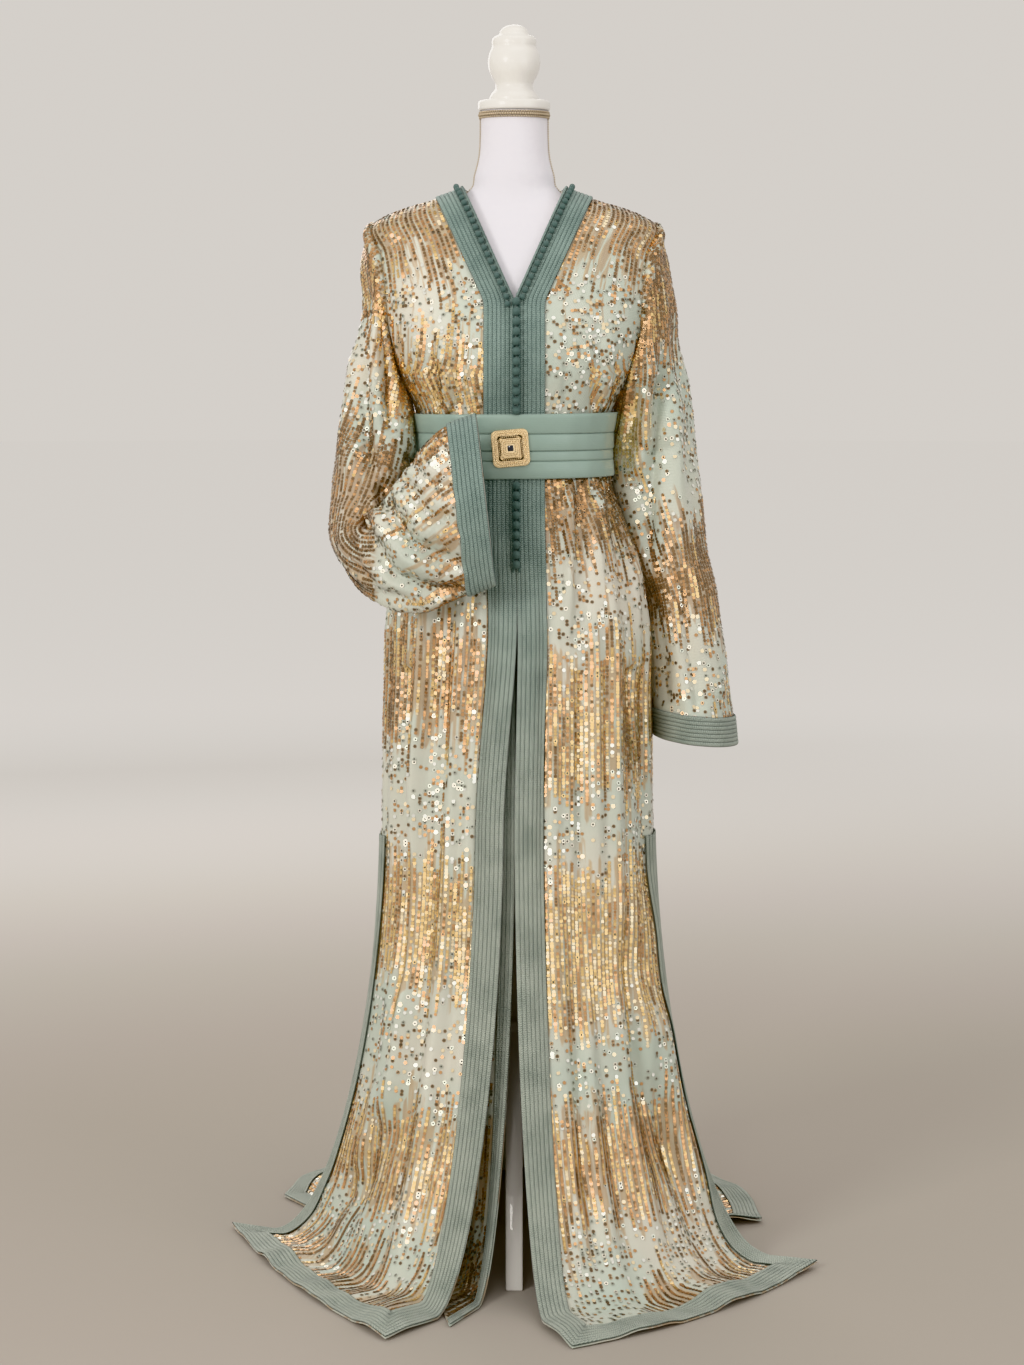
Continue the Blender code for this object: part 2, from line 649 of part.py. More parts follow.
def front_panel(side):
    """A front panel with the braid along its front edge, its hem and its side slit."""
    name = "left" if side > 0 else "right"
    hem_table, folds = (
        (LEFT_FRONT_HEM, LEFT_FRONT_FOLDS) if side > 0 else (RIGHT_FRONT_HEM, RIGHT_FRONT_FOLDS)
    )
    grid = panel_grid(
        lambda u, v: front_upper(u, v, side), hem_table, FLOOR_LIFT, front_spacing, FRONT_ROWS
    )
    grid = fold(grid, folds, -side, FLOOR_LIFT)
    slit = slice(len(FRONT_ROWS) - 1, None)
    add_cloth(f"front_{name}", grid, -side, SEQUINNED)
    add_trim(f"trim_front_{name}", grid, -side, slice(None), slice(0, 3))
    add_trim(f"trim_slit_front_{name}", grid, -side, slit, slice(-3, None))
    add_trim(f"trim_hem_{name}", grid, -side, slice(-2, None), slice(2, -2), ends_across=True)
    return grid


def back_panel():
    """The back with the braid round its neck, along its hem and up its side slits."""
    grid = panel_grid(back_upper, BACK_HEM, FLOOR_LIFT, back_spacing, BACK_ROWS)
    grid = fold(grid, BACK_FOLDS, -1, FLOOR_LIFT)
    slit = slice(len(BACK_ROWS) - 1, None)
    edge = 2 + BACK_KNOTS.index(NECK_TRIM_SHARE)
    add_cloth("back", grid, -1, SEQUINNED)
    add_trim("trim_neck_back", grid, -1, slice(0, 3), slice(edge, -edge), gap=NECK_GAP)
    add_trim("trim_slit_back_left", grid, -1, slit, slice(0, 3))
    add_trim("trim_slit_back_right", grid, -1, slit, slice(-3, None))
    add_trim("trim_hem_back", grid, -1, slice(-2, None), slice(2, -2), ends_across=True)


def underlap():
    """The inner panel behind the right front, with narrower braid along its edge."""
    across = np.array([0.0, UNDERLAP_TRIM_SHARE, 0.5, 0.75, 1.0])
    rows = [underlap_upper(across, z) for z in UNDERLAP_ROWS_Z]
    start = rows[-1]
    rows += [skirt(across, share, start, UNDERLAP_HEM, FLOOR_LIFT)[0] for share in SKIRT_ROWS + [1.0]]
    grid = np.array(rows)
    add_cloth("front_underlap", grid, 1, SEQUINNED)
    add_trim("trim_underlap", grid, 1, slice(None), slice(0, 2), gap=NECK_GAP)


def sleeve_grid(side, table):
    """Rings from the armhole to the cuff; each starts at its outer point and turns to the front."""
    turn = np.linspace(0.0, 2 * math.pi, SLEEVE_SIDES, endpoint=False)
    z, depth = armhole(np.where(turn <= math.pi, turn, 2 * math.pi - turn) / math.pi)
    depth = np.where(turn <= math.pi, -depth, depth)
    angle = angle_at_y(depth, z)
    root = SLEEVE_ROOT * (0.8 + 0.2 * np.cos(turn))
    mirror = np.array([side, 1.0, 1.0])
    first = [body_point(angle, z, out=out) * mirror for out in (SLEEVE_STAND_OFF, SLEEVE_STAND_OFF + root)]
    outer = np.array([(r.outer_x, r.outer_y, r.outer_z) for r in table])
    inner = np.array([(r.inner_x, r.inner_y, r.inner_z) for r in table])
    half_depth = np.array([r.half_depth for r in table])[:, None]
    centre, major = (outer + inner) / 2, (outer - inner) / 2
    along = major / np.linalg.norm(major, axis=1, keepdims=True)
    minor = along * along[:, 1:2] - np.array([0.0, 1.0, 0.0])
    minor *= half_depth / np.linalg.norm(minor, axis=1, keepdims=True)
    cosine, sine = np.cos(turn)[None, :, None], np.sin(turn)[None, :, None]
    rings = centre[:, None] + major[:, None] * cosine + minor[:, None] * sine
    return np.concatenate([first, rings])


def sleeve(side):
    """A sleeve, open at the armhole and the wrist, and the braid round its end."""
    name, table = ("left", LEFT_SLEEVE) if side > 0 else ("right", RIGHT_SLEEVE)
    grid = sleeve_grid(side, table)
    add_cloth(f"sleeve_{name}", grid, side, SEQUINNED, closed=True)
    normal = outward(grid, side, closed=True)
    walls = [(grid + normal * out)[-2:] for out in (CLOTH_WALL + GAP, CLOTH_WALL + GAP + TRIM_WALL)]
    add_shell(f"cuff_{name}", walls[0], walls[1], BRAID, closed=True)


def belt():
    """The belt, its pleats as ledges down its outside, and the buckle and stone in front of it."""
    low, high = BELT_Z
    inside, outside = BELT_CLEARANCE, BELT_CLEARANCE + BELT_WALL
    profile = [(inside, low), (inside, high)]
    profile += [(outside + step, high - share * (high - low)) for share, step in BELT_PLEATS]
    add_ring("belt", profile, lambda angle, out, z: body_point(angle, z, out), BELT_SIDES, SATIN)

    x, z = BUCKLE_CENTRE
    y = -(float(section_at(z)[1]) + outside + BUCKLE_STAND_OFF)
    loops = [rounded_square(half, y - depth, x, z) for half, depth in BUCKLE_PROFILE]
    add_loops("buckle", loops, GILT)
    top = y - BUCKLE_PROFILE[-1][1] - GAP
    loops = [
        np.array([(x + r * math.cos(a), top - d, z + r * math.sin(a)) for a in turns(12)])
        for r, d in STONE_PROFILE
    ]
    add_loops("buckle_stone", loops, STONE)


def rounded_square(half, y, x, z):
    """Points of a tilted square with rounded corners, standing at one depth."""
    round_by = 0.28 * half
    points = []
    for corner in range(4):
        middle = math.pi / 4 + corner * math.pi / 2
        cx, cz = (half - round_by) * math.sqrt(2) * math.cos(middle), (half - round_by) * math.sqrt(2) * math.sin(middle)
        for step in (-1.0, -0.5, 0.0, 0.5, 1.0):
            angle = middle + step * math.pi / 4
            points.append((cx + round_by * math.cos(angle), cz + round_by * math.sin(angle)))
    cosine, sine = math.cos(BUCKLE_TILT), math.sin(BUCKLE_TILT)
    return np.array([(x + a * cosine - b * sine, y, z + a * sine + b * cosine) for a, b in points])


def add_beads(name, centres, radius, sides):
    """A row of knots on a cord, through the centres given."""
    ahead = np.gradient(centres, axis=0)
    pitch = np.linalg.norm(ahead, axis=1, keepdims=True)
    ahead = ahead / pitch
    across = np.cross(ahead, np.array([0.0, 1.0, 0.0]))
    across /= np.linalg.norm(across, axis=1, keepdims=True)
    over = np.cross(across, ahead)
    loops = []
    for i, centre in enumerate(centres):
        for share, size in BEAD:
            middle = centre + ahead[i] * pitch[i] * share
            loops.append(
                np.array([middle + radius * size * (math.cos(a) * across[i] + math.sin(a) * over[i]) for a in turns(sides)])
            )
    add_loops(name, loops, BRAID)


def buttons(grids):
    """Knots down the centre, above and below the belt, and along the two sides of the V."""
    for name, top_z, count in BUTTON_ROWS:
        z = top_z - BUTTON_PITCH * np.arange(count)
        stand_off = CLOTH_WALL + GAP + TRIM_WALL + BUTTON_RADIUS + BUTTON_STAND_OFF
        y = -(section_at(z)[1] + stand_off)
        add_beads(name, np.stack([np.full_like(z, BUTTON_X), y, z], axis=-1), BUTTON_RADIUS, 8)
    for side, name, short in ((1, "knots_neck_left", 0.030), (-1, "knots_neck_right", 0.016)):
        grid = grids[side]
        stand_off = CLOTH_WALL + GAP + TRIM_WALL + KNOT_RADIUS + BUTTON_STAND_OFF
        line = (grid[:, 0] * 0.78 + grid[:, 1] * 0.22 + outward(grid, -side)[:, 0] * stand_off)[:V_ROWS]
        along = np.concatenate([[0.0], np.cumsum(np.linalg.norm(np.diff(line, axis=0), axis=1))])
        at = np.linspace(0.004, along[-1] - short, KNOT_COUNT)
        centres = np.stack([np.interp(at, along, line[:, axis]) for axis in range(3)], axis=-1)
        add_beads(name, centres, KNOT_RADIUS, 6)


# ---------------------------------------------------------------- the dress form and its stand
def dress_form():
    loops = [body_point(np.array(turns(FORM_SIDES)), row.z, table=FORM) for row in FORM]
    add_loops("form", loops, JERSEY)
    low, high = NECK_BRAID_Z
    profile = [(GAP, low), (GAP, high), (0.0022, high), (0.0030, (low + high) / 2), (0.0022, low)]
    add_ring("form_braid", profile, lambda angle, out, z: body_point(angle, z, out, FORM), 32, BEADED)
    add_turned("form_cap", CAP, 32, WHITE_PAINT)
    add_turned("form_finial", FINIAL, 24, WHITE_PAINT)
    add_turned("stand_post", POST, 20, WHITE_PAINT)
    add_turned("stand_hub", HUB, 24, WHITE_PAINT)
    for name, degrees in zip(("front", "left", "right"), LEG_ANGLES):
        cosine, sine = math.cos(math.radians(degrees)), math.sin(math.radians(degrees))
        loops = [
            np.array([(r.reach * cosine - w * sine, r.reach * sine + w * cosine, r.z) for r in LEG])
            for w in (-LEG_WIDTH / 2, LEG_WIDTH / 2)
        ]
        add_loops(f"stand_leg_{name}", loops, WHITE_PAINT)


FRONT_SPANS = 8
NECK_TRIM_SHARE = 0.2506
BACK_KNOTS = [0.0, 0.0835, 0.1670, NECK_TRIM_SHARE, 0.3030, NECK_SHARE, 0.4030, 0.4520]
WAIST_ROWS_Z = (1.192, 1.141, 1.090, 1.020, 0.940, 0.840, 0.720, SLIT_TOP_Z)
WAIST_ROWS = [1.0 + (ARMPIT_Z - z) / (ARMPIT_Z - SLIT_TOP_Z) for z in WAIST_ROWS_Z]
FRONT_ROWS = [k / 8 for k in range(9)] + WAIST_ROWS
BACK_ROWS = [0.0, YOKE_TRIM_V / 2, YOKE_TRIM_V, 0.30, 0.44, 0.58, 0.72, 0.86, 1.0] + WAIST_ROWS
SKIRT_ROWS = [0.16, 0.32, 0.48, 0.64, 0.78, 0.90, 1.0]
UNDERLAP_ROWS_Z = (UNDERLAP_Z[0], 0.920, 0.840, 0.720, UNDERLAP_Z[1])
UNDERLAP_TRIM_SHARE = 0.26
BELT_SIDES = 48
BELT_PLEATS = (
    (0.00, 0.0000), (0.29, 0.0000), (0.31, 0.0014), (0.58, 0.0012), (0.60, 0.0002),
    (0.76, 0.0004), (0.79, 0.0014), (1.00, 0.0008),
)
BUCKLE_STAND_OFF = 0.0032
BUCKLE_PROFILE = (
    (0.0240, 0.0000), (0.0250, 0.0008), (0.0250, 0.0030), (0.0240, 0.0040), (0.0215, 0.0040),
    (0.0205, 0.0032), (0.0160, 0.0032), (0.0150, 0.0042), (0.0115, 0.0042), (0.0105, 0.0034),
    (0.0068, 0.0034), (0.0060, 0.0044),
)
STONE_PROFILE = ((0.0038, 0.0000), (0.0042, 0.0008), (0.0036, 0.0022), (0.0022, 0.0031), (0.0008, 0.0034))
BUTTON_X = 0.0026
BUTTON_ROWS = (("buttons_upper", 1.3355, 12), ("buttons_lower", 1.0900, 9))
BEAD = ((-0.42, 0.55), (-0.24, 0.92), (0.0, 1.0), (0.24, 0.92), (0.42, 0.55))
V_ROWS = 6
KNOT_COUNT = 20


def main():
    for obj in list(bpy.data.objects):
        bpy.data.objects.remove(obj)
    grids = {side: front_panel(side) for side in (1, -1)}
    back_panel()
    underlap()
    sleeve(1)
    sleeve(-1)
    belt()
    buttons(grids)
    dress_form()


if __name__ == "__main__":
    main()
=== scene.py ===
"""Looks of a Moroccan kaftan on a dress form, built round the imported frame.

Metres, +Z up, front facing -Y. Left and right are the wearer's, so the left side is at +X. Cloth
is made as grids of points on the garment's own sections, with its creases pressed in, and the
sequins, braid and knots are laid on those grids.
"""

from __future__ import annotations

import logging
import math
from collections.abc import Callable, Sequence
from dataclasses import dataclass, field
from enum import Enum
from typing import Any

import bmesh
import bpy
import numpy as np
from mathutils import Matrix, Vector

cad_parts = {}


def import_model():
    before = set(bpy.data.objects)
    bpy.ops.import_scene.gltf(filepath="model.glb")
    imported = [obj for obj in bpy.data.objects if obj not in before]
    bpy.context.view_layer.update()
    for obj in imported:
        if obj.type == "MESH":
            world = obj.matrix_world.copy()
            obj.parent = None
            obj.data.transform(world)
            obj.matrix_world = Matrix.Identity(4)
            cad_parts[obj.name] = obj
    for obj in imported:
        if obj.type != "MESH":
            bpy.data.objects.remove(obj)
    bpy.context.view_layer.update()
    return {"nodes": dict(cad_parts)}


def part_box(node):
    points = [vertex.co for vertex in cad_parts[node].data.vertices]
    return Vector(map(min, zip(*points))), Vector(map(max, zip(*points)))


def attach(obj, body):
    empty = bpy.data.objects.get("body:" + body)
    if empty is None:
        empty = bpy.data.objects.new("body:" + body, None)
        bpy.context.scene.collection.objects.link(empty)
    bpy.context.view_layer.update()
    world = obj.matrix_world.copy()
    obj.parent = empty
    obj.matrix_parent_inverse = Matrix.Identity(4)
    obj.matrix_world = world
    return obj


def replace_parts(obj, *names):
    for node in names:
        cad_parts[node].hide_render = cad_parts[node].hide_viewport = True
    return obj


LOG = logging.getLogger("kaftan")
Array = np.ndarray
Material, Object, BMesh = bpy.types.Material, bpy.types.Object, bmesh.types.BMesh
Place = Callable[[np.ndarray, np.ndarray, np.ndarray], np.ndarray]
Colour = tuple[float, float, float]

# ---- driving sizes
AXIS = np.array([-0.006, -0.0165, 0.0])
NECK_POINT_Z = 1.487
SHOULDER_TIP_Z = 1.442
ARMPIT_Z = 1.24
NECK_HALF_WIDTH = 0.068
V_BOTTOM_Z = 1.337
NAPE_Z = 1.47
NECK_SHARE = 0.355
ARMHOLE_HALF_DEPTH = 0.055
SLIT_TOP_Z = 0.6
CENTRE_DRIFT = 0.02
SKIRT_LEAN = 0.0055
SEAM_GAP = 0.0003
CLOTH_WALL = 0.0014
TRIM_WIDTH = 0.04
FLOOR_LIFT = 0.0018
BELT_Z = (1.0985, 1.184)
BELT_CLEARANCE = 0.0058
YOKE_TRIM_V = 0.16
FORM_Z = (0.88, 1.593)
# Height below which no fold reaches the form, and the deepest folds above and below it.
FORM_FREE_Z = 0.84
DEEPEST = (-0.0035, -0.05)


def metres(rows: list[tuple[float, ...]]) -> Array:
    """A table written in thousandths, in metres."""
    return np.array(rows) / 1000


# Garment sections: height, half-width, front depth, back depth, power.
BODY_SECTIONS = metres([
    (1500, 40, 34, 60, 2200), (1487, 68, 44, 64, 2200), (1470, 116, 54, 70, 2300),
    (1457, 158, 61, 76, 2500), (1442, 188, 69, 82, 2700), (1400, 193, 86, 94, 2700),
    (1340, 187, 104, 102, 2600), (1290, 176, 118, 102, 2500), (1240, 160, 118, 96, 2300),
    (1184, 132.5, 103, 84, 2200), (1141, 126.5, 101, 82, 2100), (1098, 129, 102, 86, 2100),
    (1050, 146, 109, 99, 2100), (990, 166, 118, 114, 2100), (925, 178, 125, 126, 2100),
    (800, 184, 131, 136, 2100), (600, 188, 137, 146, 2100),
])
# Dress form sections, in the same columns.
FORM_SECTIONS = metres([
    (880, 148, 94, 100, 2100), (900, 163, 106, 112, 2100), (940, 167, 108, 114, 2100),
    (990, 158, 106, 104, 2100), (1050, 137, 100, 90, 2100), (1098, 121.5, 95, 79, 2100),
    (1141, 119, 93, 75, 2100), (1184, 124.5, 95, 77, 2200), (1240, 150, 108, 87, 2300),
    (1290, 165, 109, 94, 2400), (1340, 174, 96, 94, 2500), (1400, 180, 78, 86, 2500),
    (1432, 170, 64, 76, 2500), (1448, 143, 56, 70, 2400), (1460, 117, 50, 65, 2200),
    (1472, 83, 45, 60, 2100), (1488, 58.5, 43.5, 55, 2000), (1506, 53.5, 45, 52, 2000),
    (1530, 47.5, 45, 48, 2000), (1560, 45.5, 45, 46, 2000), (1593, 45.5, 45, 46, 2000),
])
# Skirt lines: place across, where the line meets the floor (x, y), its hem (x, y).
RIGHT_FRONT_HEM = metres([
    (0, -101, -320, -167, -398), (250, -143, -275, -211, -330), (500, -203, -200, -271, -235),
    (750, -275, -95, -339, -100), (1000, -348, 55, -410, 79),
])
LEFT_FRONT_HEM = metres([
    (0, 37, -345, 74, -427), (250, 105, -315, 147, -385), (500, 187, -268, 232, -322),
    (750, 272, -185, 327, -225), (1000, 359, -82, 422, -102),
])
BACK_HEM = metres([
    (0, 297, 75, 362, 100), (170, 252, 190, 342, 250), (330, 162, 290, 237, 405),
    (500, -3, 330, -3, 460), (670, -163, 290, -228, 400), (830, -238, 205, -313, 320),
    (1000, -273, 120, -345, 225),
])
UNDERLAP_HEM = metres([
    (0, -46, -272, -85, -346), (500, -72, -212, -102, -250), (1000, -92, -165, -118, -192),
])
UNDERLAP_INSET = (0.007, 0.012)
UNDERLAP_Z = (0.985, 0.6)
UNDERLAP_X = (-0.004, -0.088)
# Sleeve rings: outer x, y, z, inner x, y, z, half-depth.
LEFT_SLEEVE_RINGS = metres([
    (203, 0, 1412, 156, 4, 1226, 58.5), (212, 4, 1365, 143, 12, 1200, 60),
    (224, 12, 1305, 137, 30, 1165, 60), (235, 20, 1225, 131, 50, 1125, 59),
    (244, 26, 1160, 132, 54, 1090, 59), (258, 32, 1063, 148, 48, 1020, 62),
    (276, 36, 937, 176, 38, 925, 68), (291, 37, 845, 186, 39, 850, 73),
    (306, 38, 759, 194.5, 39, 772, 79), (311, 38, 720, 199.5, 39, 734, 81),
])
RIGHT_SLEEVE_RINGS = metres([
    (-202.5, 0, 1410, -156, -3, 1225, 58), (-211, 2, 1350, -144, -10, 1200, 57.5),
    (-224, 4, 1250, -136, -26, 1167, 54), (-235, 2, 1160, -134, -40, 1120, 50),
    (-245, -12, 1080, -150, -62, 1078, 46), (-243, -48, 1014, -188, -90, 1052, 39),
    (-221, -92, 967, -200, -114, 1046, 37), (-180, -130, 934, -183, -138, 1062, 37),
    (-127, -156, 926, -146, -156, 1112, 36), (-65, -168, 948, -91, -166, 1168, 34),
    (-26, -171, 965, -50, -170, 1184, 33),
])
SLEEVE_STAND_OFF = 0.0024
SLEEVE_ROOT = 0.006


# ---- shader writing
class Sock:
    """A node socket or a number, with arithmetic that adds Math nodes."""

    def __init__(self, graph: Graph, value: Any) -> None:
        """Keep the graph and the socket or number."""
        self.graph = graph
        self.value = value

    def _math(self, operation: str, *others: Any) -> Sock:
        """Add one Math node on this value and others, which are sockets or numbers."""
        values = [self, *others]
        return self.graph.node("ShaderNodeMath", {"operation": operation}, dict(enumerate(values)))

    def __add__(self, other: Any) -> Sock:
        """Sum."""
        return self._math("ADD", other)

    __radd__ = __add__

    def __sub__(self, other: Any) -> Sock:
        """Difference."""
        return self._math("SUBTRACT", other)

    def __rsub__(self, other: Any) -> Sock:
        """Reflected difference."""
        return Sock(self.graph, other)._math("SUBTRACT", self)

    def __mul__(self, other: Any) -> Sock:
        """Product."""
        return self._math("MULTIPLY", other)

    __rmul__ = __mul__

    def __truediv__(self, other: Any) -> Sock:
        """Quotient."""
        return self._math("DIVIDE", other)

    def __pow__(self, other: Any) -> Sock:
        """Power."""
        return self._math("POWER", other)

    def sine(self) -> Sock:
        """Sine of the value."""
        return self._math("SINE")

    def fraction(self) -> Sock:
        """Part after the point."""
        return self._math("FRACT")

    def size(self) -> Sock:
        """Absolute value."""
        return self._math("ABSOLUTE")

    def step(self, low: float, high: float) -> Sock:
        """Smooth step, from 0 at low to 1 at high."""
        inputs = {0: self, 1: low, 2: high, 3: 0.0, 4: 1.0}
        return self.graph.node("ShaderNodeMapRange", {"interpolation_type": "SMOOTHSTEP"}, inputs)


class Graph:
    """A material's node tree, with one method that adds any node."""

    def __init__(self, name: str) -> None:
        """Start a new material with one Principled shader.

        Args:
            name: Name of the material.
        """
        self.material = bpy.data.materials.new(name)
        self.material.use_nodes = True
        self.tree = self.material.node_tree
        self.shader = self.tree.nodes["Principled BSDF"]

    def node(
        self,
        kind: str,
        settings: dict[str, Any] | None = None,
        inputs: dict[int | str, Any] | None = None,
        output: int | str = 0,
    ) -> Sock:
        """Add a node.

        Args:
            kind: Type of the node.
            settings: Properties set first.
            inputs: Values or links of its sockets.
            output: The output wanted.

        Returns:
            That output.
        """
        made = self.tree.nodes.new(kind)
        for name, value in (settings or {}).items():
            setattr(made, name, value)
        for key, value in (inputs or {}).items():
            self.join(value, made.inputs[key])
        return Sock(self, made.outputs[output])

    def join(self, value: Any, socket: Any) -> None:
        """Link or set a socket.

        Args:
            value: A Sock, a number or a colour.
            socket: The socket that takes it.
        """
        if isinstance(value, Sock):
            value = value.value
        if isinstance(value, bpy.types.NodeSocket):
            self.tree.links.new(value, socket)
        elif isinstance(value, tuple) and len(value) == 3 and socket.type == "RGBA":
            socket.default_value = (*value, 1.0)
        else:
            socket.default_value = value

    def set(self, **inputs: Any) -> Graph:
        """Set the shader's sockets, their names written with underscores.

        Args:
            inputs: Socket name and value or link.

        Returns:
            This graph.
        """
        for name, value in inputs.items():
            self.join(value, self.shader.inputs[name.replace("_", " ")])
        return self

    def uv(self) -> tuple[Sock, Sock]:
        """Coordinates along the piece's own cloth map, in metres: across and down."""
        link = self.node("ShaderNodeUVMap", {"uv_map": "Cloth"})
        parts = self.tree.nodes.new("ShaderNodeSeparateXYZ")
        self.join(link, parts.inputs[0])
        return Sock(self, parts.outputs[0]), Sock(self, parts.outputs[1])

    def place(self) -> Sock:
        """Object coordinates."""
        return self.node("ShaderNodeTexCoord", output="Object")

    def paint(self, name: str) -> Sock:
        """A value painted on the piece's points."""
        return self.node("ShaderNodeAttribute", {"attribute_name": name}, output="Fac")

    def noise(self, scale: float, detail: float = 2.0, vector: Any = None) -> Sock:
        """Noise about 0.5: cells in a metre, octaves, and coordinates unless the object's own."""
        inputs = {"Vector": vector or self.place(), "Scale": scale, "Detail": detail}
        return self.node("ShaderNodeTexNoise", {}, inputs, "Fac")

    def blend(self, factor: Any, first: Any, second: Any) -> Sock:
        """Mix two colours, by the second one's share."""
        settings = {"data_type": "RGBA"}
        return self.node("ShaderNodeMix", settings, {0: factor, 6: first, 7: second}, 2)

    def bump(self, height: Sock, strength: float, distance: float) -> Graph:
        """Feed a height to the shader's normal, with the metres that one unit stands for."""
        inputs = {"Height": height, "Strength": strength, "Distance": distance}
        return self.set(Normal=self.node("ShaderNodeBump", {}, inputs))


# ---- finishes
class Finish:
    """A procedural material with a name of its own."""

    name: str

    def make(self) -> Material:
        """Build the material."""
        graph = Graph(self.name)
        self.shade_with(graph)
        return graph.material


@dataclass(frozen=True)
class SheerCloth(Finish):
    """Pale mint cloth with a fine weave, its thread dyed gold and copper under the bands."""

    name: str = "sequinned_cloth"
    mint: Colour = (0.5, 0.57, 0.5)
    ivory: Colour = (0.665, 0.645, 0.56)
    gold: Colour = (0.55, 0.4, 0.22)
    copper: Colour = (0.37, 0.235, 0.135)
    threads: float = 1500.0

    def shade_with(self, graph: Graph) -> None:
        """Write the material's nodes."""
        across, down = graph.uv()
        dense, warm = graph.paint("dense"), graph.paint("warm")
        patches = graph.noise(6.0, 3.0).step(0.3, 0.72)
        along = graph.node("ShaderNodeCombineXYZ", {}, {0: across * 190.0, 1: down * 16.0})
        streaks = graph.noise(1.0, vector=along)
        base = graph.blend(patches, self.mint, self.ivory)
        dyed = graph.blend(warm, self.gold, self.copper)
        cover = dense.step(0.15, 0.75) * streaks.step(0.3, 0.52) * 0.72
        weave = (across * self.threads).sine() * (down * self.threads).sine()
        graph.set(
            Base_Color=graph.blend(cover, base, dyed), Roughness=0.44, Sheen_Weight=0.35,
            Sheen_Roughness=0.4, Specular_IOR_Level=0.5,
        )
        graph.bump(weave * 0.35 + streaks * 1.6, 0.45, 0.0006)


@dataclass(frozen=True)
class SageBraid(Finish):
    """Ribbed braid: plaited courses with herringbone threads between raised cords."""

    name: str = "sage_braid"
    light: Colour = (0.31, 0.415, 0.38)
    dark: Colour = (0.09, 0.15, 0.14)
    # Paler tones used for the braid low down, near the floor: painted light.
    painted_lit_low_light: Colour = (0.48, 0.53, 0.465)
    painted_lit_low_dark: Colour = (0.15, 0.195, 0.17)
    rib: float = 0.00571
    courses: float = 330.0

    def shade_with(self, graph: Graph) -> None:
        """Write the material's nodes."""
        across, down = graph.uv()
        rib = (across * (1.0 / self.rib)).fraction() - 0.5
        plait = (down * (2 * math.pi * self.courses) + rib.size() * 9.0).sine()
        strands = (across * (2 * math.pi * 4.0 / self.rib)).sine()
        wear = graph.noise(26.0, 3.0)
        fine = graph.noise(700.0, 2.0)
        groove = rib.size().step(0.38, 0.49)
        height = plait * 0.8 + strands * 0.5 + fine * 0.8 - groove * 1.8
        # Colour follows the relief: darker in the grooves between cords and lighter on the raised plait and
        # strands, which is painted shade; the noise adds random tone.
        shade = plait * 0.2 + strands * 0.16 + wear * 0.9 + fine * 0.85 - groove * 0.75
        # The braid is paler below 0.55 m and darker above 1.15 m: painted light and shade by height, not a
        # change of thread.
        high = graph.node("ShaderNodeSeparateXYZ", {}, {0: graph.place()}, "Z").step(0.55, 1.15)
        dark = graph.blend(high, self.painted_lit_low_dark, self.dark)
        light = graph.blend(high, self.painted_lit_low_light, self.light)
        graph.set(
            Base_Color=graph.blend(shade.step(0.25, 1.1), dark, light), Roughness=0.6,
            Sheen_Weight=0.22, Sheen_Roughness=0.5, Specular_IOR_Level=0.35,
        )
        graph.bump(height, 0.8, 0.0006)


@dataclass(frozen=True)
class SageSatin(Finish):
    """Smooth satin with a faint crosswise grain."""

    name: str = "sage_satin"
    light: Colour = (0.34, 0.45, 0.4)
    dark: Colour = (0.275, 0.375, 0.33)

    def shade_with(self, graph: Graph) -> None:
        """Write the material's nodes."""
        _, down = graph.uv()
        grain = (down * 2600.0).sine() * 0.5 + graph.noise(420.0, 2.0) * 0.8
        tone = graph.noise(14.0, 2.0)
        graph.set(
            Base_Color=graph.blend(tone, self.dark, self.light), Roughness=0.38,
            Sheen_Weight=0.2, Specular_IOR_Level=0.5,
        )
        graph.bump(grain, 0.18, 0.0003)


@dataclass(frozen=True)
class Gilt(Finish):
    """Chased gilt metal, darker in its hollows."""

    name: str = "gilt"
    bright: Colour = (0.93, 0.76, 0.5)
    hollow: Colour = (0.62, 0.44, 0.22)

    def shade_with(self, graph: Graph) -> None:
        """Write the material's nodes."""
        tint = graph.blend(graph.paint("relief"), self.hollow, self.bright)
        graph.set(Base_Color=tint, Metallic=1.0, Roughness=0.3)
        graph.bump(graph.noise(2600.0, 2.0), 0.25, 0.0002)


@dataclass(frozen=True)
class Plain(Finish):
    """A plain finish with a little mottling in colour and surface."""

    name: str
    colour: Colour
    shade: Colour
    roughness: float = 0.5
    metallic: float = 0.0
    coat: float = 0.0
    sheen: float = 0.0
    grain: float = 300.0
    depth: float = 0.0002

    def shade_with(self, graph: Graph) -> None:
        """Write the material's nodes."""
        tone = graph.noise(self.grain * 0.08, 3.0)
        graph.set(
            Base_Color=graph.blend(tone, self.shade, self.colour), Roughness=self.roughness,
            Metallic=self.metallic, Sheen_Weight=self.sheen, Coat_Weight=self.coat,
        )
        graph.bump(graph.noise(self.grain, 2.0), 0.4, self.depth)


STONE = Plain("stone", (0.03, 0.036, 0.06), (0.012, 0.014, 0.026), 0.08, coat=1.0)
JERSEY = Plain(
    "form_jersey", (0.8, 0.785, 0.835), (0.74, 0.725, 0.785), 0.72, sheen=0.4, grain=1400.0,
    depth=0.0003,
)
PAINT = Plain("white_paint", (0.8, 0.79, 0.76), (0.74, 0.72, 0.69), 0.32, coat=0.3, grain=60.0)
BEADS = Plain("beaded_braid", (0.66, 0.56, 0.42), (0.42, 0.34, 0.24), 0.35, metallic=0.4)


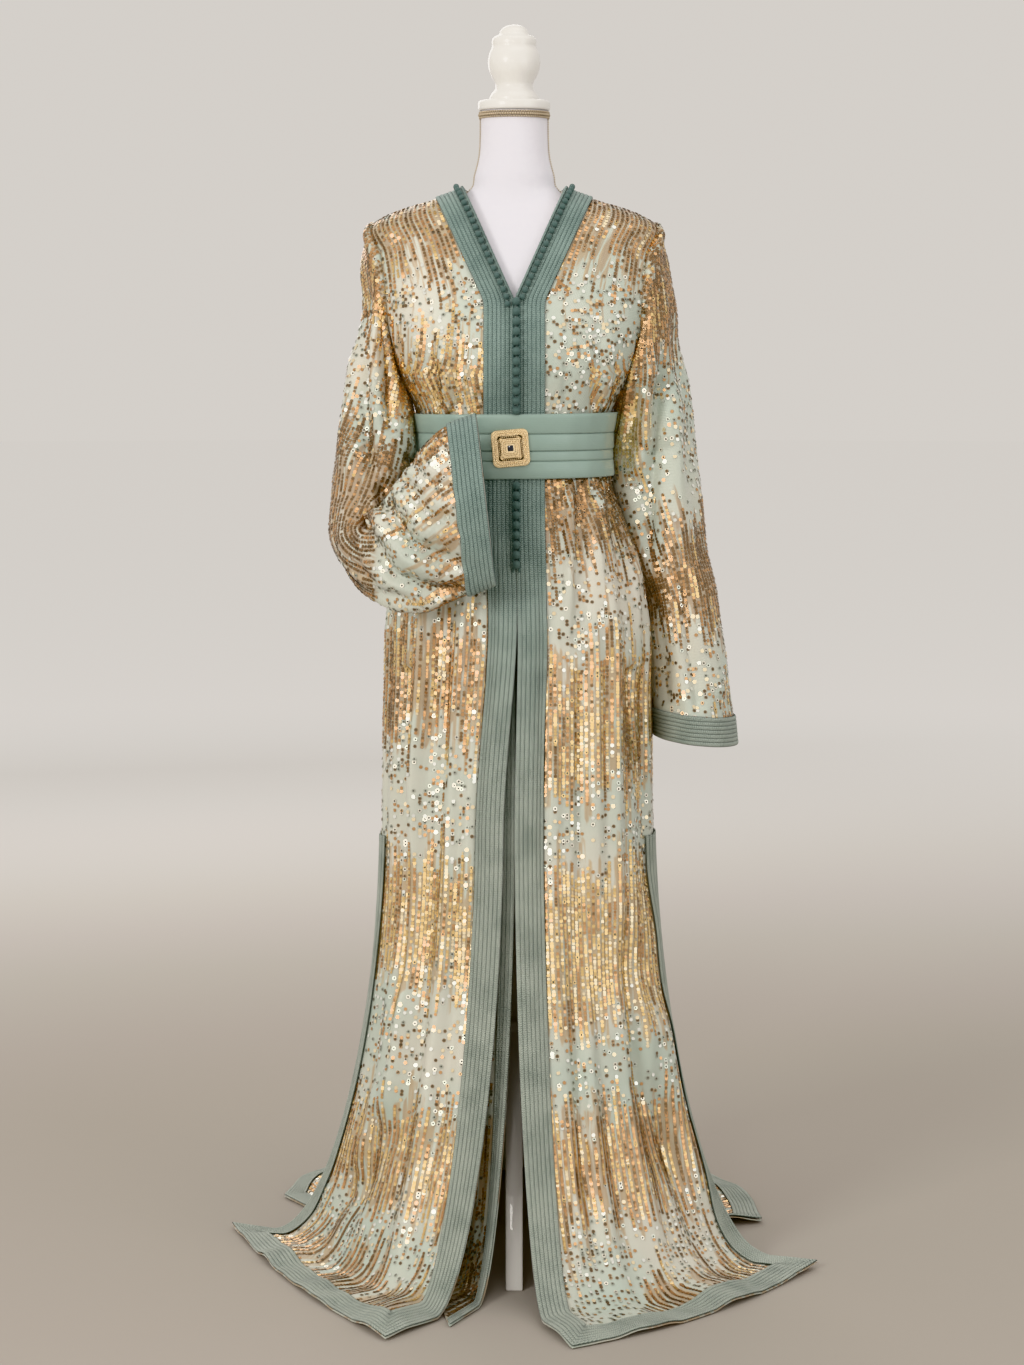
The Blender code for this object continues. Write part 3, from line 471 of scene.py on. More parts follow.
@dataclass(frozen=True)
class PaleFloor(Finish):
    """Plain pale floor that grows lighter away from its middle."""

    name: str = "studio_floor"
    near: Colour = (0.44, 0.405, 0.365)
    far: Colour = (0.985, 0.985, 0.985)

    def shade_with(self, graph: Graph) -> None:
        """Write the material's nodes."""
        reach = graph.node("ShaderNodeVectorMath", {"operation": "LENGTH"}, {0: graph.place()}, 1)
        # Near white far off, so that the floor lit by the sky alone matches the backdrop: painted light.
        # The near colour is the floor's own.
        fade = reach.step(0.9, 6.2) ** 0.9
        graph.set(Base_Color=graph.blend(fade, self.near, self.far), Roughness=0.9, Specular_IOR_Level=0.0)


# ---- sections and surfaces
def smooth(value: Any) -> Array:
    """0 below 0, 1 above 1 and an S-curve between."""
    value = np.clip(value, 0.0, 1.0)
    return value * value * (3.0 - 2.0 * value)


def run(line: Array) -> Array:
    """Length along a line, or along each line of a grid, at every point."""
    steps = np.linalg.norm(np.diff(line, axis=0), axis=-1)
    return np.concatenate([np.zeros((1, *steps.shape[1:])), np.cumsum(steps, axis=0)])


def pick(at: Any, along: Array, line: Array) -> Array:
    """Points of a line at some lengths along it."""
    return np.stack([np.interp(at, along, line[:, axis]) for axis in range(3)], axis=-1)


def unit(values: Array) -> Array:
    """Vectors at a length of 1."""
    return values / np.linalg.norm(values, axis=-1, keepdims=True)


def turns(count: int) -> Array:
    """Angles spaced evenly round a whole turn."""
    return np.linspace(0.0, 2 * math.pi, count, endpoint=False)


def closed_up(values: Array) -> Array:
    """A grid with its first column added again at the end."""
    return np.concatenate([values, values[:, :1]], axis=1)


def curve(knots: Array, values: Array, at: Array) -> Array:
    """Values between knots, on a smooth curve through them.

    Args:
        knots: Places of the values, rising.
        values: One value, or one array of values, for each knot.
        at: Places wanted.

    Returns:
        The values there.
    """
    slopes = np.gradient(values, knots, axis=0)
    index = np.clip(np.searchsorted(knots, at) - 1, 0, len(knots) - 2)
    shape = np.shape(index) + (1,) * (values.ndim - 1)
    width = np.reshape(knots[index + 1] - knots[index], shape)
    t = np.reshape(at - knots[index], shape) / width
    start = (1 + 2 * t) * (1 - t) ** 2 * values[index] + t * (1 - t) ** 2 * width * slopes[index]
    end = t * t * (3 - 2 * t) * values[index + 1] - t * t * (1 - t) * width * slopes[index + 1]
    return start + end


def read(table: Array, column: int, at: Any) -> Array:
    """A table's column between its rows, at places in its first column."""
    rows = table[np.argsort(table[:, 0])]
    knots = rows[:, 0]
    return curve(knots, rows[:, column], np.clip(np.asarray(at, float), knots[0], knots[-1]))


@dataclass(frozen=True)
class Figure:
    """Horizontal sections of the garment or of the dress form."""

    sections: Array

    def sizes(self, z: Any, out: float = 0.0) -> tuple[Array, Array, Array, Array]:
        """Half-width, front depth, back depth and power at a height, stood off by out."""
        wide, front, back = (read(self.sections, column, z) + out for column in (1, 2, 3))
        return wide, front, back, read(self.sections, 4, z)

    def point(self, angle: Any, z: Any, out: float = 0.0) -> Array:
        """Points at angles from the front centre towards +X.

        Args:
            angle: The angles.
            z: The heights.
            out: Stand-off.

        Returns:
            The points.
        """
        angle, z = np.broadcast_arrays(np.asarray(angle, float), np.asarray(z, float))
        wide, front, back, power = self.sizes(z, out)
        sine, cosine = np.sin(angle), np.cos(angle)
        depth = np.where(cosine > 0, front, back)
        x = wide * np.sign(sine) * np.abs(sine) ** (2.0 / power)
        y = -depth * np.sign(cosine) * np.abs(cosine) ** (2.0 / power)
        return np.stack([x, y, z], axis=-1)

    def angle_at_x(self, x: Any, z: Any) -> Array:
        """Angle at which the front is x wide of the centre."""
        wide, _, _, power = self.sizes(z)
        return np.sign(x) * np.arcsin(np.clip(np.abs(x) / wide, 0.0, 1.0) ** (power / 2.0))

    def angle_at_y(self, y: Any, z: Any) -> Array:
        """Angle at which the side at +X is y behind the axis."""
        _, front, back, power = self.sizes(z)
        share = np.clip(np.abs(y) / np.where(y < 0, front, back), 0.0, 1.0)
        turn = np.arccos(share ** (power / 2.0))
        return np.where(y < 0, turn, math.pi - turn)


BODY = Figure(BODY_SECTIONS)
FORM = Figure(FORM_SECTIONS)


def lean(z: Any) -> Array:
    """The skirt's small shift to the left below the belt."""
    shift = SKIRT_LEAN * smooth((1.07 - np.asarray(z, float)) / 0.22)
    return np.stack([shift, 0.0 * shift, 0.0 * shift], axis=-1)


def armhole(v: Any) -> tuple[Array, Array]:
    """Height and half-depth of the armhole, from the shoulder tip (0) to the armpit (1)."""
    middle, half = (SHOULDER_TIP_Z + ARMPIT_Z) / 2, (SHOULDER_TIP_Z - ARMPIT_Z) / 2
    depth = np.maximum(ARMHOLE_HALF_DEPTH * np.sin(math.pi * v), SEAM_GAP)
    return middle + half * np.cos(math.pi * v), depth


def front_upper(side: int, u: Any, v: float) -> Array:
    """A row of a front above its slit.

    Args:
        side: 1 for the left front, -1 for the right.
        u: Places across, from the front edge.
        v: 0 at the shoulder, 1 at the armpit, 2 at the slit.

    Returns:
        The row's points.
    """
    top = min(max(v, 0.0), 1.0)
    side_z, depth = armhole(top)
    side_z = side_z + (SLIT_TOP_Z - ARMPIT_Z) * min(max(v - 1.0, 0.0), 1.0)
    edge_z = side_z + (NECK_POINT_Z - SHOULDER_TIP_Z) * (1.0 - top) ** 1.5
    share = (edge_z - V_BOTTOM_Z) / (NECK_POINT_Z - V_BOTTOM_Z)
    drift = -CENTRE_DRIFT * smooth((0.95 - edge_z) / 0.35) * (0.25 if side > 0 else 1.0)
    centre = (drift + side * 0.0004) * side
    edge_x = NECK_HALF_WIDTH * share + 0.0004 if share > 0.0 else centre
    if share >= 0.9999:
        inner = BODY.angle_at_y(-SEAM_GAP, edge_z)
    else:
        inner = BODY.angle_at_x(edge_x, edge_z)
    outer = BODY.angle_at_y(-depth, side_z)
    z = edge_z + (side_z - edge_z) * u
    angle = inner + (outer - inner) * u
    if top <= 0.0:
        angle = BODY.angle_at_y(np.full_like(z, -SEAM_GAP), z)
    return BODY.point(angle, z) * np.array([side, 1.0, 1.0]) + lean(z)


def back_upper(u: Array, v: float) -> Array:
    """A row of the back above its slits, from the left side to the right side."""
    half = 1.0 - 2.0 * np.abs(u - 0.5)
    sign = np.where(u <= 0.5, 1.0, -1.0)
    if v < 1.0:
        row = np.array([back_yoke(float(share), v) for share in half])
    else:
        z = ARMPIT_Z + (SLIT_TOP_Z - ARMPIT_Z) * min(v - 1.0, 1.0)
        seam = BODY.angle_at_y(np.full_like(u, SEAM_GAP), np.full_like(u, z))
        row = BODY.point(seam + (math.pi - seam) * half, z)
    row = row * np.stack([sign, np.ones_like(sign), np.ones_like(sign)], axis=-1)
    return row + lean(row[:, 2])


YOKE_LINES: dict[float, tuple[Array, Array]] = {}


def back_yoke(half: float, v: float) -> Array:
    """A point of one half of the back above the armpit, v of the way down its line."""
    if half not in YOKE_LINES:
        edge_z, depth = armhole(np.linspace(0.0, 1.0, 61))
        drop = (SHOULDER_TIP_Z - edge_z) / (SHOULDER_TIP_Z - ARMPIT_Z)
        edge_x = BODY.point(BODY.angle_at_y(depth, edge_z), edge_z)[:, 0]
        neck = 2.0 * NECK_SHARE
        if half <= neck:
            top_z = SHOULDER_TIP_Z + (NECK_POINT_Z - SHOULDER_TIP_Z) * half / neck
            top_x = BODY.point(BODY.angle_at_y(SEAM_GAP, top_z), top_z)[0]
        else:
            turn = (half - neck) / (1.0 - neck)
            top_z = NECK_POINT_Z - (NECK_POINT_Z - NAPE_Z) * smooth(turn)
            top_x = NECK_HALF_WIDTH * math.cos(turn * math.pi / 2)
        seam = BODY.angle_at_y(SEAM_GAP, ARMPIT_Z)
        low_x = BODY.point(seam + (math.pi - seam) * half, ARMPIT_Z)[0]
        z = top_z + (ARMPIT_Z - top_z) * drop
        swing = edge_x - (edge_x[0] + (edge_x[-1] - edge_x[0]) * drop)
        x = top_x + (low_x - top_x) * drop + swing * (1.0 - half) ** 2
        wide, _, back, power = BODY.sizes(z)
        y = back * (1.0 - np.clip(x / wide, 0.0, 1.0) ** power) ** (1.0 / power)
        y[0] = max(y[0], SEAM_GAP) if half > neck else SEAM_GAP
        line = np.stack([x, y, z], axis=-1)
        YOKE_LINES[half] = (line, run(line))
    line, along = YOKE_LINES[half]
    if half <= 0.0:
        at = v * along[-1]
    elif v <= YOKE_TRIM_V:
        at = TRIM_WIDTH * v / YOKE_TRIM_V
    else:
        share = (v - YOKE_TRIM_V) / (1.0 - YOKE_TRIM_V)
        at = TRIM_WIDTH + (along[-1] - TRIM_WIDTH) * share
    return pick(at, along, line)


def underlap_upper(u: Array, v: float) -> Array:
    """A row of the underlap above the slit's height, just behind the right front."""
    z = UNDERLAP_Z[0] + (UNDERLAP_Z[1] - UNDERLAP_Z[0]) * v / 2.0
    inset = UNDERLAP_INSET[0] + (UNDERLAP_INSET[1] - UNDERLAP_INSET[0]) * smooth((1.0 - z) / 0.25)
    x = UNDERLAP_X[0] + (UNDERLAP_X[1] - UNDERLAP_X[0]) * u
    return BODY.point(BODY.angle_at_x(x, z), z, out=-inset) + lean(np.full_like(x, z))


def skirt_lines(start: Array, u: Array, hem: Array) -> tuple[Array, Array]:
    """The skirt's lines from the slit's height down to the floor and out to the hem.

    Args:
        start: Points they leave from.
        u: Their places across.
        hem: The hem's table.

    Returns:
        Points down each line, and the lengths to them.
    """
    lift = np.full_like(u, FLOOR_LIFT)
    floor, end = (
        np.stack([read(hem, column, u), read(hem, column + 1, u), lift], axis=-1)
        for column in (1, 3)
    )
    ease = (floor - start) * np.array([1.0, 1.0, 0.0])
    down = (start[:, 2:3] - FLOOR_LIFT) * np.array([0.0, 0.0, 1.0])
    first = start + 0.05 * ease - 0.5 * down
    second = floor - 0.5 * ease + 0.02 * down
    t = np.linspace(0.0, 1.0, 97)[:, None, None]
    arc = (1 - t) ** 3 * start + 3 * t * (1 - t) ** 2 * first + 3 * t * t * (1 - t) * second
    path = np.concatenate([arc + t**3 * floor, end[None]])
    return path, run(path)


def evenly(row: Callable[[Array], Array], count: int) -> Array:
    """Points spaced evenly along a row, given as points at places from 0 to 1."""
    probe = np.linspace(0.0, 1.0, 121)
    along = run(row(probe))
    return row(np.interp(np.linspace(0.0, along[-1], count), along, probe))


def panel_rows(
    upper: Callable[[Array, float], Array], hem: Array, counts: tuple[int, int, int, int]
) -> Array:
    """Rows of points from the shoulder to the hem.

    Args:
        upper: A row above the slit at places across and v.
        hem: The hem's table.
        counts: Rows to the armpit, to the slit and to the hem, and columns.

    Returns:
        The grid of points.
    """
    yoke, waist, skirt, columns = counts
    levels = [k / yoke for k in range(yoke)] + [1.0 + k / waist for k in range(waist + 1)]
    if not yoke:
        levels = [2.0 * k / waist for k in range(waist + 1)]
    rows = [evenly(lambda u, v=v: upper(u, v), columns) for v in levels]
    probe = np.linspace(0.0, 1.0, 61)
    path, along = skirt_lines(upper(probe, 2.0), probe, hem)
    for share in np.linspace(0.0, 1.0, skirt + 1)[1:]:
        spots = share * along[-1]
        line = np.array([pick(spots[k], along[:, k], path[:, k]) for k in range(len(probe))])
        rows.append(evenly(lambda u, line=line: pick(u, probe, line), columns))
    return np.array(rows)


@dataclass
class Cloth:
    """A sheet as rows and columns of points, with its outward normals and its lengths."""

    points: Array
    sign: float
    closed: bool = False
    normals: Array = field(init=False)
    across: Array = field(init=False)
    down: Array = field(init=False)

    def __post_init__(self) -> None:
        """Work out normals and the lengths along rows and columns."""
        grid = self.points
        if self.closed:
            step = np.roll(grid, -1, axis=1) - np.roll(grid, 1, axis=1)
        else:
            step = np.gradient(grid, axis=1)
        normal = self.sign * np.cross(step, np.gradient(grid, axis=0))
        length = np.maximum(np.linalg.norm(normal, axis=-1, keepdims=True), 1e-12)
        self.normals = normal / length
        self.across = run(grid.swapaxes(0, 1)).T
        self.down = run(grid)

    def moved(self, height: Array) -> Cloth:
        """The sheet moved out by a height at each point, never below the floor."""
        grid = self.points + self.normals * height[..., None]
        grid[..., 2] = np.maximum(grid[..., 2], FLOOR_LIFT)
        return Cloth(grid, self.sign, self.closed)

    def at(self, row: Any, column: Any, lift: Any = 0.0) -> tuple[Array, Array]:
        """Points and normals between the sheet's rows and columns.

        Args:
            row: Row numbers, with fractions.
            column: Column numbers, with fractions.
            lift: Height above the sheet.

        Returns:
            Points and unit normals.
        """
        row, column = np.broadcast_arrays(np.asarray(row, float), np.asarray(column, float))
        rows, columns = self.points.shape[:2]
        i = np.clip(np.floor(row).astype(int), 0, rows - 2)
        a = np.clip(row - i, 0.0, 1.0)[..., None]
        j = np.floor(column).astype(int)
        if self.closed:
            b = (column - j)[..., None]
            j, k = j % columns, (j + 1) % columns
        else:
            j = np.clip(j, 0, columns - 2)
            b = np.clip(column - j, 0.0, 1.0)[..., None]
            k = j + 1

        def between(values: Array) -> Array:
            """Values between the four points round each place."""
            top = values[i, j] * (1 - b) + values[i, k] * b
            return top * (1 - a) + (values[i + 1, j] * (1 - b) + values[i + 1, k] * b) * a

        normal = unit(between(self.normals))
        return between(self.points) + normal * np.asarray(lift)[..., None], normal

    def column_in(self, rows: Array, distance: Any, far: bool = False) -> Array:
        """Column numbers that lie a distance in from the first or the last column."""
        found = []
        for row, step in zip(*np.broadcast_arrays(rows, distance)):
            low = int(min(max(math.floor(row), 0), len(self.points) - 1))
            high = min(low + 1, len(self.points) - 1)
            line = self.across[low] * (1 - row + low) + self.across[high] * (row - low)
            want = line[-1] - step if far else step
            found.append(np.interp(want, line, np.arange(len(line))))
        return np.array(found)

    def row_in(self, columns: Array, distance: Any, up: bool = True) -> Array:
        """Row numbers that lie a distance up from the hem, or else down from the top."""
        found = []
        for column, step in zip(*np.broadcast_arrays(columns, distance)):
            j = int(min(max(round(float(column)), 0), self.points.shape[1] - 1))
            line = self.down[:, j]
            found.append(np.interp(line[-1] - step if up else step, line, np.arange(len(line))))
        return np.array(found)

    def margins(self, row: Array, column: Array) -> tuple[Array, Array, Array, Array]:
        """Distances in from the first and the last column, the hem and the top edge."""
        i = np.clip(row.round().astype(int), 0, len(self.points) - 1)
        j = np.clip(column.round().astype(int), 0, self.points.shape[1] - 1)
        first, top = self.across[i, j], self.down[i, j]
        return first, self.across[i, -1] - first, self.down[-1, j] - top, top


@dataclass(frozen=True)
class Crease:
    """A fold laid along a line across and up the front or the back of a piece."""

    path: tuple[tuple[float, float], ...]
    width: float
    depth: float
    fade: tuple[float, float] = (0.25, 0.25)
    facing: int = -1

    def height(self, cloth: Cloth) -> Array:
        """Height it adds to each point of a sheet."""
        x, z = cloth.points[..., 0], cloth.points[..., 2]
        ends = np.array(self.path)
        along = run(ends)
        near, place = np.full(x.shape, 9.0), np.zeros(x.shape)
        for k, length in enumerate(np.linalg.norm(np.diff(ends, axis=0), axis=1)):
            (ax, az), (bx, bz) = ends[k], ends[k + 1]
            t = np.clip(((x - ax) * (bx - ax) + (z - az) * (bz - az)) / length**2, 0.0, 1.0)
            far = np.hypot(x - ax - t * (bx - ax), z - az - t * (bz - az))
            closer = far < near
            near = np.where(closer, far, near)
            place = np.where(closer, (along[k] + t * length) / along[-1], place)
        strength = smooth(place / self.fade[0]) * smooth((1.0 - place) / self.fade[1])
        wide = self.width * (0.85 + 0.3 * np.sin(3.0 + 7.0 * place) ** 2)
        side = smooth(0.5 + self.facing * cloth.normals[..., 1] * 1.6)
        return self.depth * np.exp(-((near / wide) ** 2)) * strength * side


def creases(rows: Sequence[Sequence[int]], facing: int = -1) -> tuple[Crease, ...]:
    """Creases from rows of whole numbers.

    Args:
        rows: A crease's width and depth in tenths of a millimetre, the shares of its line that
            fade in and out in hundredths, then x and z of its points in millimetres.
        facing: -1 on the front, 1 on the back.

    Returns:
        The creases.
    """
    return tuple(
        Crease(
            tuple((x / 1000, z / 1000) for x, z in zip(row[4::2], row[5::2])), row[0] / 1e4,
            row[1] / 1e4, (row[2] / 100, row[3] / 100), facing,
        )
        for row in rows
    )


# ---- making meshes
def add_object(name: str, mesh: Any, materials: Sequence[Any]) -> Object:
    """Make an object from a bmesh or a mesh, riding on the root body.

    Args:
        name: Name of the piece.
        mesh: A bmesh, which is freed, or a mesh.
        materials: Its materials.

    Returns:
        The object.
    """
    if isinstance(mesh, BMesh):
        data = bpy.data.meshes.new(name)
        mesh.to_mesh(data)
        mesh.free()
        mesh = data
    for material in materials:
        mesh.materials.append(material)
    mesh.polygons.foreach_set("use_smooth", [True] * len(mesh.polygons))
    made = bpy.data.objects.new(name, mesh)
    bpy.context.scene.collection.objects.link(made)
    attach(made, "root")
    return made


def grid_mesh(
    name: str, cloth: Cloth, dye: dict[str, Array] | None = None, uv: Array | None = None
) -> bpy.types.Mesh:
    """A mesh on a sheet's points, with its cloth map in metres.

    Args:
        name: Name of the mesh.
        cloth: The sheet, about the form's axis. Its faces point to its sign's side.
        dye: Values at each point, kept as attributes.
        uv: Across and down lengths at each point, the sheet's own if left out.

    Returns:
        The mesh.
    """
    grid, dye = cloth.points, dict(dye or {})
    across, down = cloth.across, cloth.down
    if cloth.closed:
        gap = np.linalg.norm(grid[:, :1] - grid[:, -1:], axis=-1)
        across, down = np.concatenate([across, across[:, -1:] + gap], axis=1), closed_up(down)
        grid, dye = closed_up(grid), {key: closed_up(values) for key, values in dye.items()}
    if uv is None:
        uv = np.stack([across, down], axis=-1)
    rows, columns = grid.shape[:2]
    bm = bmesh.new()
    bmesh.ops.create_grid(bm, x_segments=columns - 1, y_segments=rows - 1, size=1.0)
    bm.loops.layers.uv.new("Cloth")
    for key in dye:
        bm.verts.layers.float.new(key)
    layer = bm.loops.layers.uv["Cloth"]
    flat, places = grid.reshape(-1, 3) + AXIS, uv.reshape(-1, 2)
    index = {}
    for vertex in bm.verts:
        j = round((vertex.co.x + 1.0) / 2.0 * (columns - 1))
        i = round((vertex.co.y + 1.0) / 2.0 * (rows - 1))
        index[vertex] = i * columns + j
    for face in bm.faces:
        for loop in face.loops:
            loop[layer].uv = places[index[loop.vert]]
    for vertex, number in index.items():
        vertex.co = flat[number]
    for key, values in dye.items():
        tone, values = bm.verts.layers.float[key], values.reshape(-1)
        for vertex, number in index.items():
            vertex[tone] = float(values[number])
    if cloth.sign < 0:
        bmesh.ops.reverse_faces(bm, faces=bm.faces[:])
    if cloth.closed:
        seam = [v for v, number in index.items() if number % columns in (0, columns - 1)]
        bmesh.ops.remove_doubles(bm, verts=seam, dist=1e-6)
    mesh = bpy.data.meshes.new(name)
    bm.to_mesh(mesh)
    bm.free()
    return mesh


def thicken(made: Object, wall: float, outward: bool = True) -> None:
    """Give a sheet its wall with a live Solidify."""
    wallness = made.modifiers.new("Wall", "SOLIDIFY")
    wallness.thickness = wall
    wallness.offset = 1.0 if outward else -1.0
    wallness.use_even_offset = False


def settle(bm: BMesh, angle: float, axis: str, place: Vector) -> None:
    """Turn a whole bmesh about an axis, then move it to its place about the form's axis."""
    turn = Matrix.Rotation(angle, 3, axis)
    bmesh.ops.rotate(bm, verts=bm.verts[:], cent=(0, 0, 0), matrix=turn)
    bmesh.ops.translate(bm, verts=bm.verts[:], vec=Vector(AXIS) + place)


def eased(bm: BMesh, edges: Sequence[Any], offset: float, segments: int = 3) -> dict:
    """Round edges off, and give what the bevel made."""
    return bmesh.ops.bevel(
        bm, geom=edges, offset=offset, segments=segments, profile=0.5, affect="EDGES", material=-1
    )


def crisp(made: Object) -> None:
    """Keep the corners of a smooth piece sharp."""
    made.modifiers.new("Edges", "EDGE_SPLIT").split_angle = math.radians(50)


def copies(name: str, stamp: BMesh, count: int) -> bpy.types.Mesh:
    """A mesh of many copies of a small shape, one after the other.

    Args:
        name: Name of the mesh.
        stamp: The shape, which is freed.
        count: How many copies.

    Returns:
        The mesh.
    """
    mesh = bpy.data.meshes.new(name + "_one")
    stamp.to_mesh(mesh)
    stamp.free()
    holder = bpy.data.objects.new(name + "_one", mesh)
    bpy.context.scene.collection.objects.link(holder)
    array = holder.modifiers.new("Copies", "ARRAY")
    array.use_relative_offset = False
    array.use_constant_offset = True
    array.constant_offset_displace = (0.0, 0.0, 0.0)
    array.count = count
    bpy.context.view_layer.update()
    graph = bpy.context.evaluated_depsgraph_get()
    result = bpy.data.meshes.new_from_object(holder.evaluated_get(graph))
    result.name = name
    bpy.data.objects.remove(holder)
    bpy.data.meshes.remove(mesh)
    return result


def set_copies(mesh: bpy.types.Mesh, frames: Array, centres: Array) -> None:
    """Place each copy of a shape by its own frame.

    Args:
        mesh: The mesh of copies, all at the origin.
        frames: One matrix for each copy, its columns the copy's axes.
        centres: One centre for each copy, about the form's axis.
    """
    places = np.empty(len(mesh.vertices) * 3, np.float32)
    mesh.vertices.foreach_get("co", places)
    places = places.reshape(len(centres), -1, 3)
    placed = np.einsum("nij,nkj->nki", frames, places) + centres[:, None] + AXIS
    mesh.vertices.foreach_set("co", placed.astype(np.float32).reshape(-1))
    mesh.update()


def add_beads(
    name: str, centres: Array, radius: Array | float, stamp: BMesh,
    material: Material,
) -> Object:
    """Beads or knots at the centres given.

    Args:
        name: Name of the piece.
        centres: Their centres about the form's axis.
        radius: Their radius, or one for each.
        stamp: The shape at a radius of 1.
        material: Their material.

    Returns:
        The object.
    """
    mesh = copies(name, stamp, len(centres))
    size = np.broadcast_to(np.asarray(radius, float), (len(centres),))[:, None, None]
    set_copies(mesh, np.eye(3) * size, centres)
    return add_object(name, mesh, [material])


def ball(segments: int, rings: int, weave: float = 0.0) -> BMesh:
    """A ball of radius 1, its surface wound like a knot by weave.

    Args:
        segments: Segments round it.
        rings: Rings down it.
        weave: Height of the winding, as a share of the radius.

    Returns:
        The bmesh.
    """
    bm = bmesh.new()
    bmesh.ops.create_uvsphere(bm, u_segments=segments, v_segments=rings, radius=1.0)
    for vertex in bm.verts:
        turn = math.atan2(vertex.co.y, vertex.co.x)
        tall = math.asin(max(-1.0, min(1.0, vertex.co.z)))
        wound = math.sin(3.0 * turn + 4.0 * tall) * math.sin(3.0 * turn - 4.0 * tall)
        vertex.co *= 1.0 + weave * wound * math.cos(tall)
    return bm


def spun(profile: Sequence[tuple[float, float]], steps: int) -> BMesh:
    """A turned shape from its half-profile.

    Args:
        profile: Radius and height, from the axis round to the axis.
        steps: Segments round it.

    Returns:
        The bmesh, its faces outwards.
    """
    bm = bmesh.new()
    line = [bm.verts.new((radius, 0.0, z)) for radius, z in profile]
    edges = [bm.edges.new(pair) for pair in zip(line, line[1:])]
    bmesh.ops.spin(
        bm, geom=line + edges, cent=(0, 0, 0), axis=(0, 0, 1), angle=2 * math.pi, steps=steps,
        use_merge=True,
    )
    bmesh.ops.remove_doubles(bm, verts=bm.verts[:], dist=1e-6)
    bmesh.ops.recalc_face_normals(bm, faces=bm.faces[:])
    bmesh.ops.translate(bm, verts=bm.verts[:], vec=Vector(AXIS))
    return bm


def rounded(profile: Sequence[tuple[float, float]], times: int = 2) -> list[tuple[float, float]]:
    """A profile with its corners cut twice, its two ends kept."""
    line = np.array(profile)
    for _ in range(times):
        first = line[:-1] * 0.78 + line[1:] * 0.22
        second = line[:-1] * 0.22 + line[1:] * 0.78
        inner = np.stack([first, second], axis=1).reshape(-1, 2)
        line = np.concatenate([line[:1], inner[1:-1], line[-1:]])
    return [tuple(point) for point in line]


def tube_grid(path: Array, radius: Array, sides: int) -> Array:
    """Rings of points round a path, for a cord.

    Args:
        path: Points along it.
        radius: Its radius for each ring and side.
        sides: Sides of a ring.

    Returns:
        The grid.
    """
    ahead = unit(np.gradient(path, axis=0))
    side = unit(np.cross(ahead, np.array([0.0, 1.0, 0.0])))
    over = np.cross(side, ahead)
    turn = (np.arange(sides) * 2 * math.pi / sides)[None, :, None]
    ring = np.cos(turn) * side[:, None] + np.sin(turn) * over[:, None]
    return path[:, None] + ring * radius[..., None]


def close_ends(made: Object) -> None:
    """Fill the ends of a tube and turn its faces outwards."""
    bm = bmesh.new()
    bm.from_mesh(made.data)
    bmesh.ops.holes_fill(bm, edges=[e for e in bm.edges if e.is_boundary], sides=0)
    bmesh.ops.recalc_face_normals(bm, faces=bm.faces[:])
    bm.to_mesh(made.data)
    bm.free()


def facet(mesh: bpy.types.Mesh) -> None:
    """Shade every face of a mesh flat."""
    mesh.polygons.foreach_set("use_smooth", [False] * len(mesh.polygons))


def spaced(line: Array, start: float, short: float, count: int) -> Array:
    """Points spaced evenly along a line, from start to short of its end."""
    along = run(line)
    return pick(np.linspace(start, along[-1] - short, count), along, line)


# ---- sequins
class Metal(Enum):
    """Tints of the sequins, as base colours."""

    GOLD = (0.82, 0.6, 0.3)
    PALE_GOLD = (0.95, 0.82, 0.58)
    COPPER = (0.62, 0.38, 0.2)
    BRONZE = (0.33, 0.22, 0.125)
    CHAMPAGNE = (0.88, 0.84, 0.73)
    PEARL = (0.9, 0.91, 0.85)
    SILVER = (0.56, 0.58, 0.5)
    # Near-black matte face filling the middle of each pierced sequin: painted shade in the hole.
    HOLE_SHADE = (0.085, 0.085, 0.065)


METALS = list(Metal)
STREAKS, TINT_STEPS = 521, 97
DENSE_METALS = (Metal.BRONZE, Metal.COPPER, Metal.PALE_GOLD, Metal.GOLD)
LOOSE_METALS = {
    "sequins": (Metal.COPPER, Metal.PEARL, Metal.PALE_GOLD),
    "pierced": (Metal.BRONZE, Metal.SILVER, Metal.CHAMPAGNE),
}


def sequin_materials() -> list[Material]:
    """One foil material for each tint."""
    made = []
    for metal in METALS:
        graph = Graph(f"sequin_{metal.name.lower()}")
        graph.set(
            Base_Color=metal.value, Metallic=0.0 if metal is Metal.HOLE_SHADE else 0.78,
            Roughness=0.7 if metal is Metal.HOLE_SHADE else 0.27, Specular_IOR_Level=0.6,
        )
        made.append(graph.material)
    return made


@dataclass(frozen=True)
class Band:
    """A band of dense sequins between two levels, from one place across to another."""

    high: float
    low: float
    warm: float = 0.3
    left: float = -9.0
    right: float = 9.0


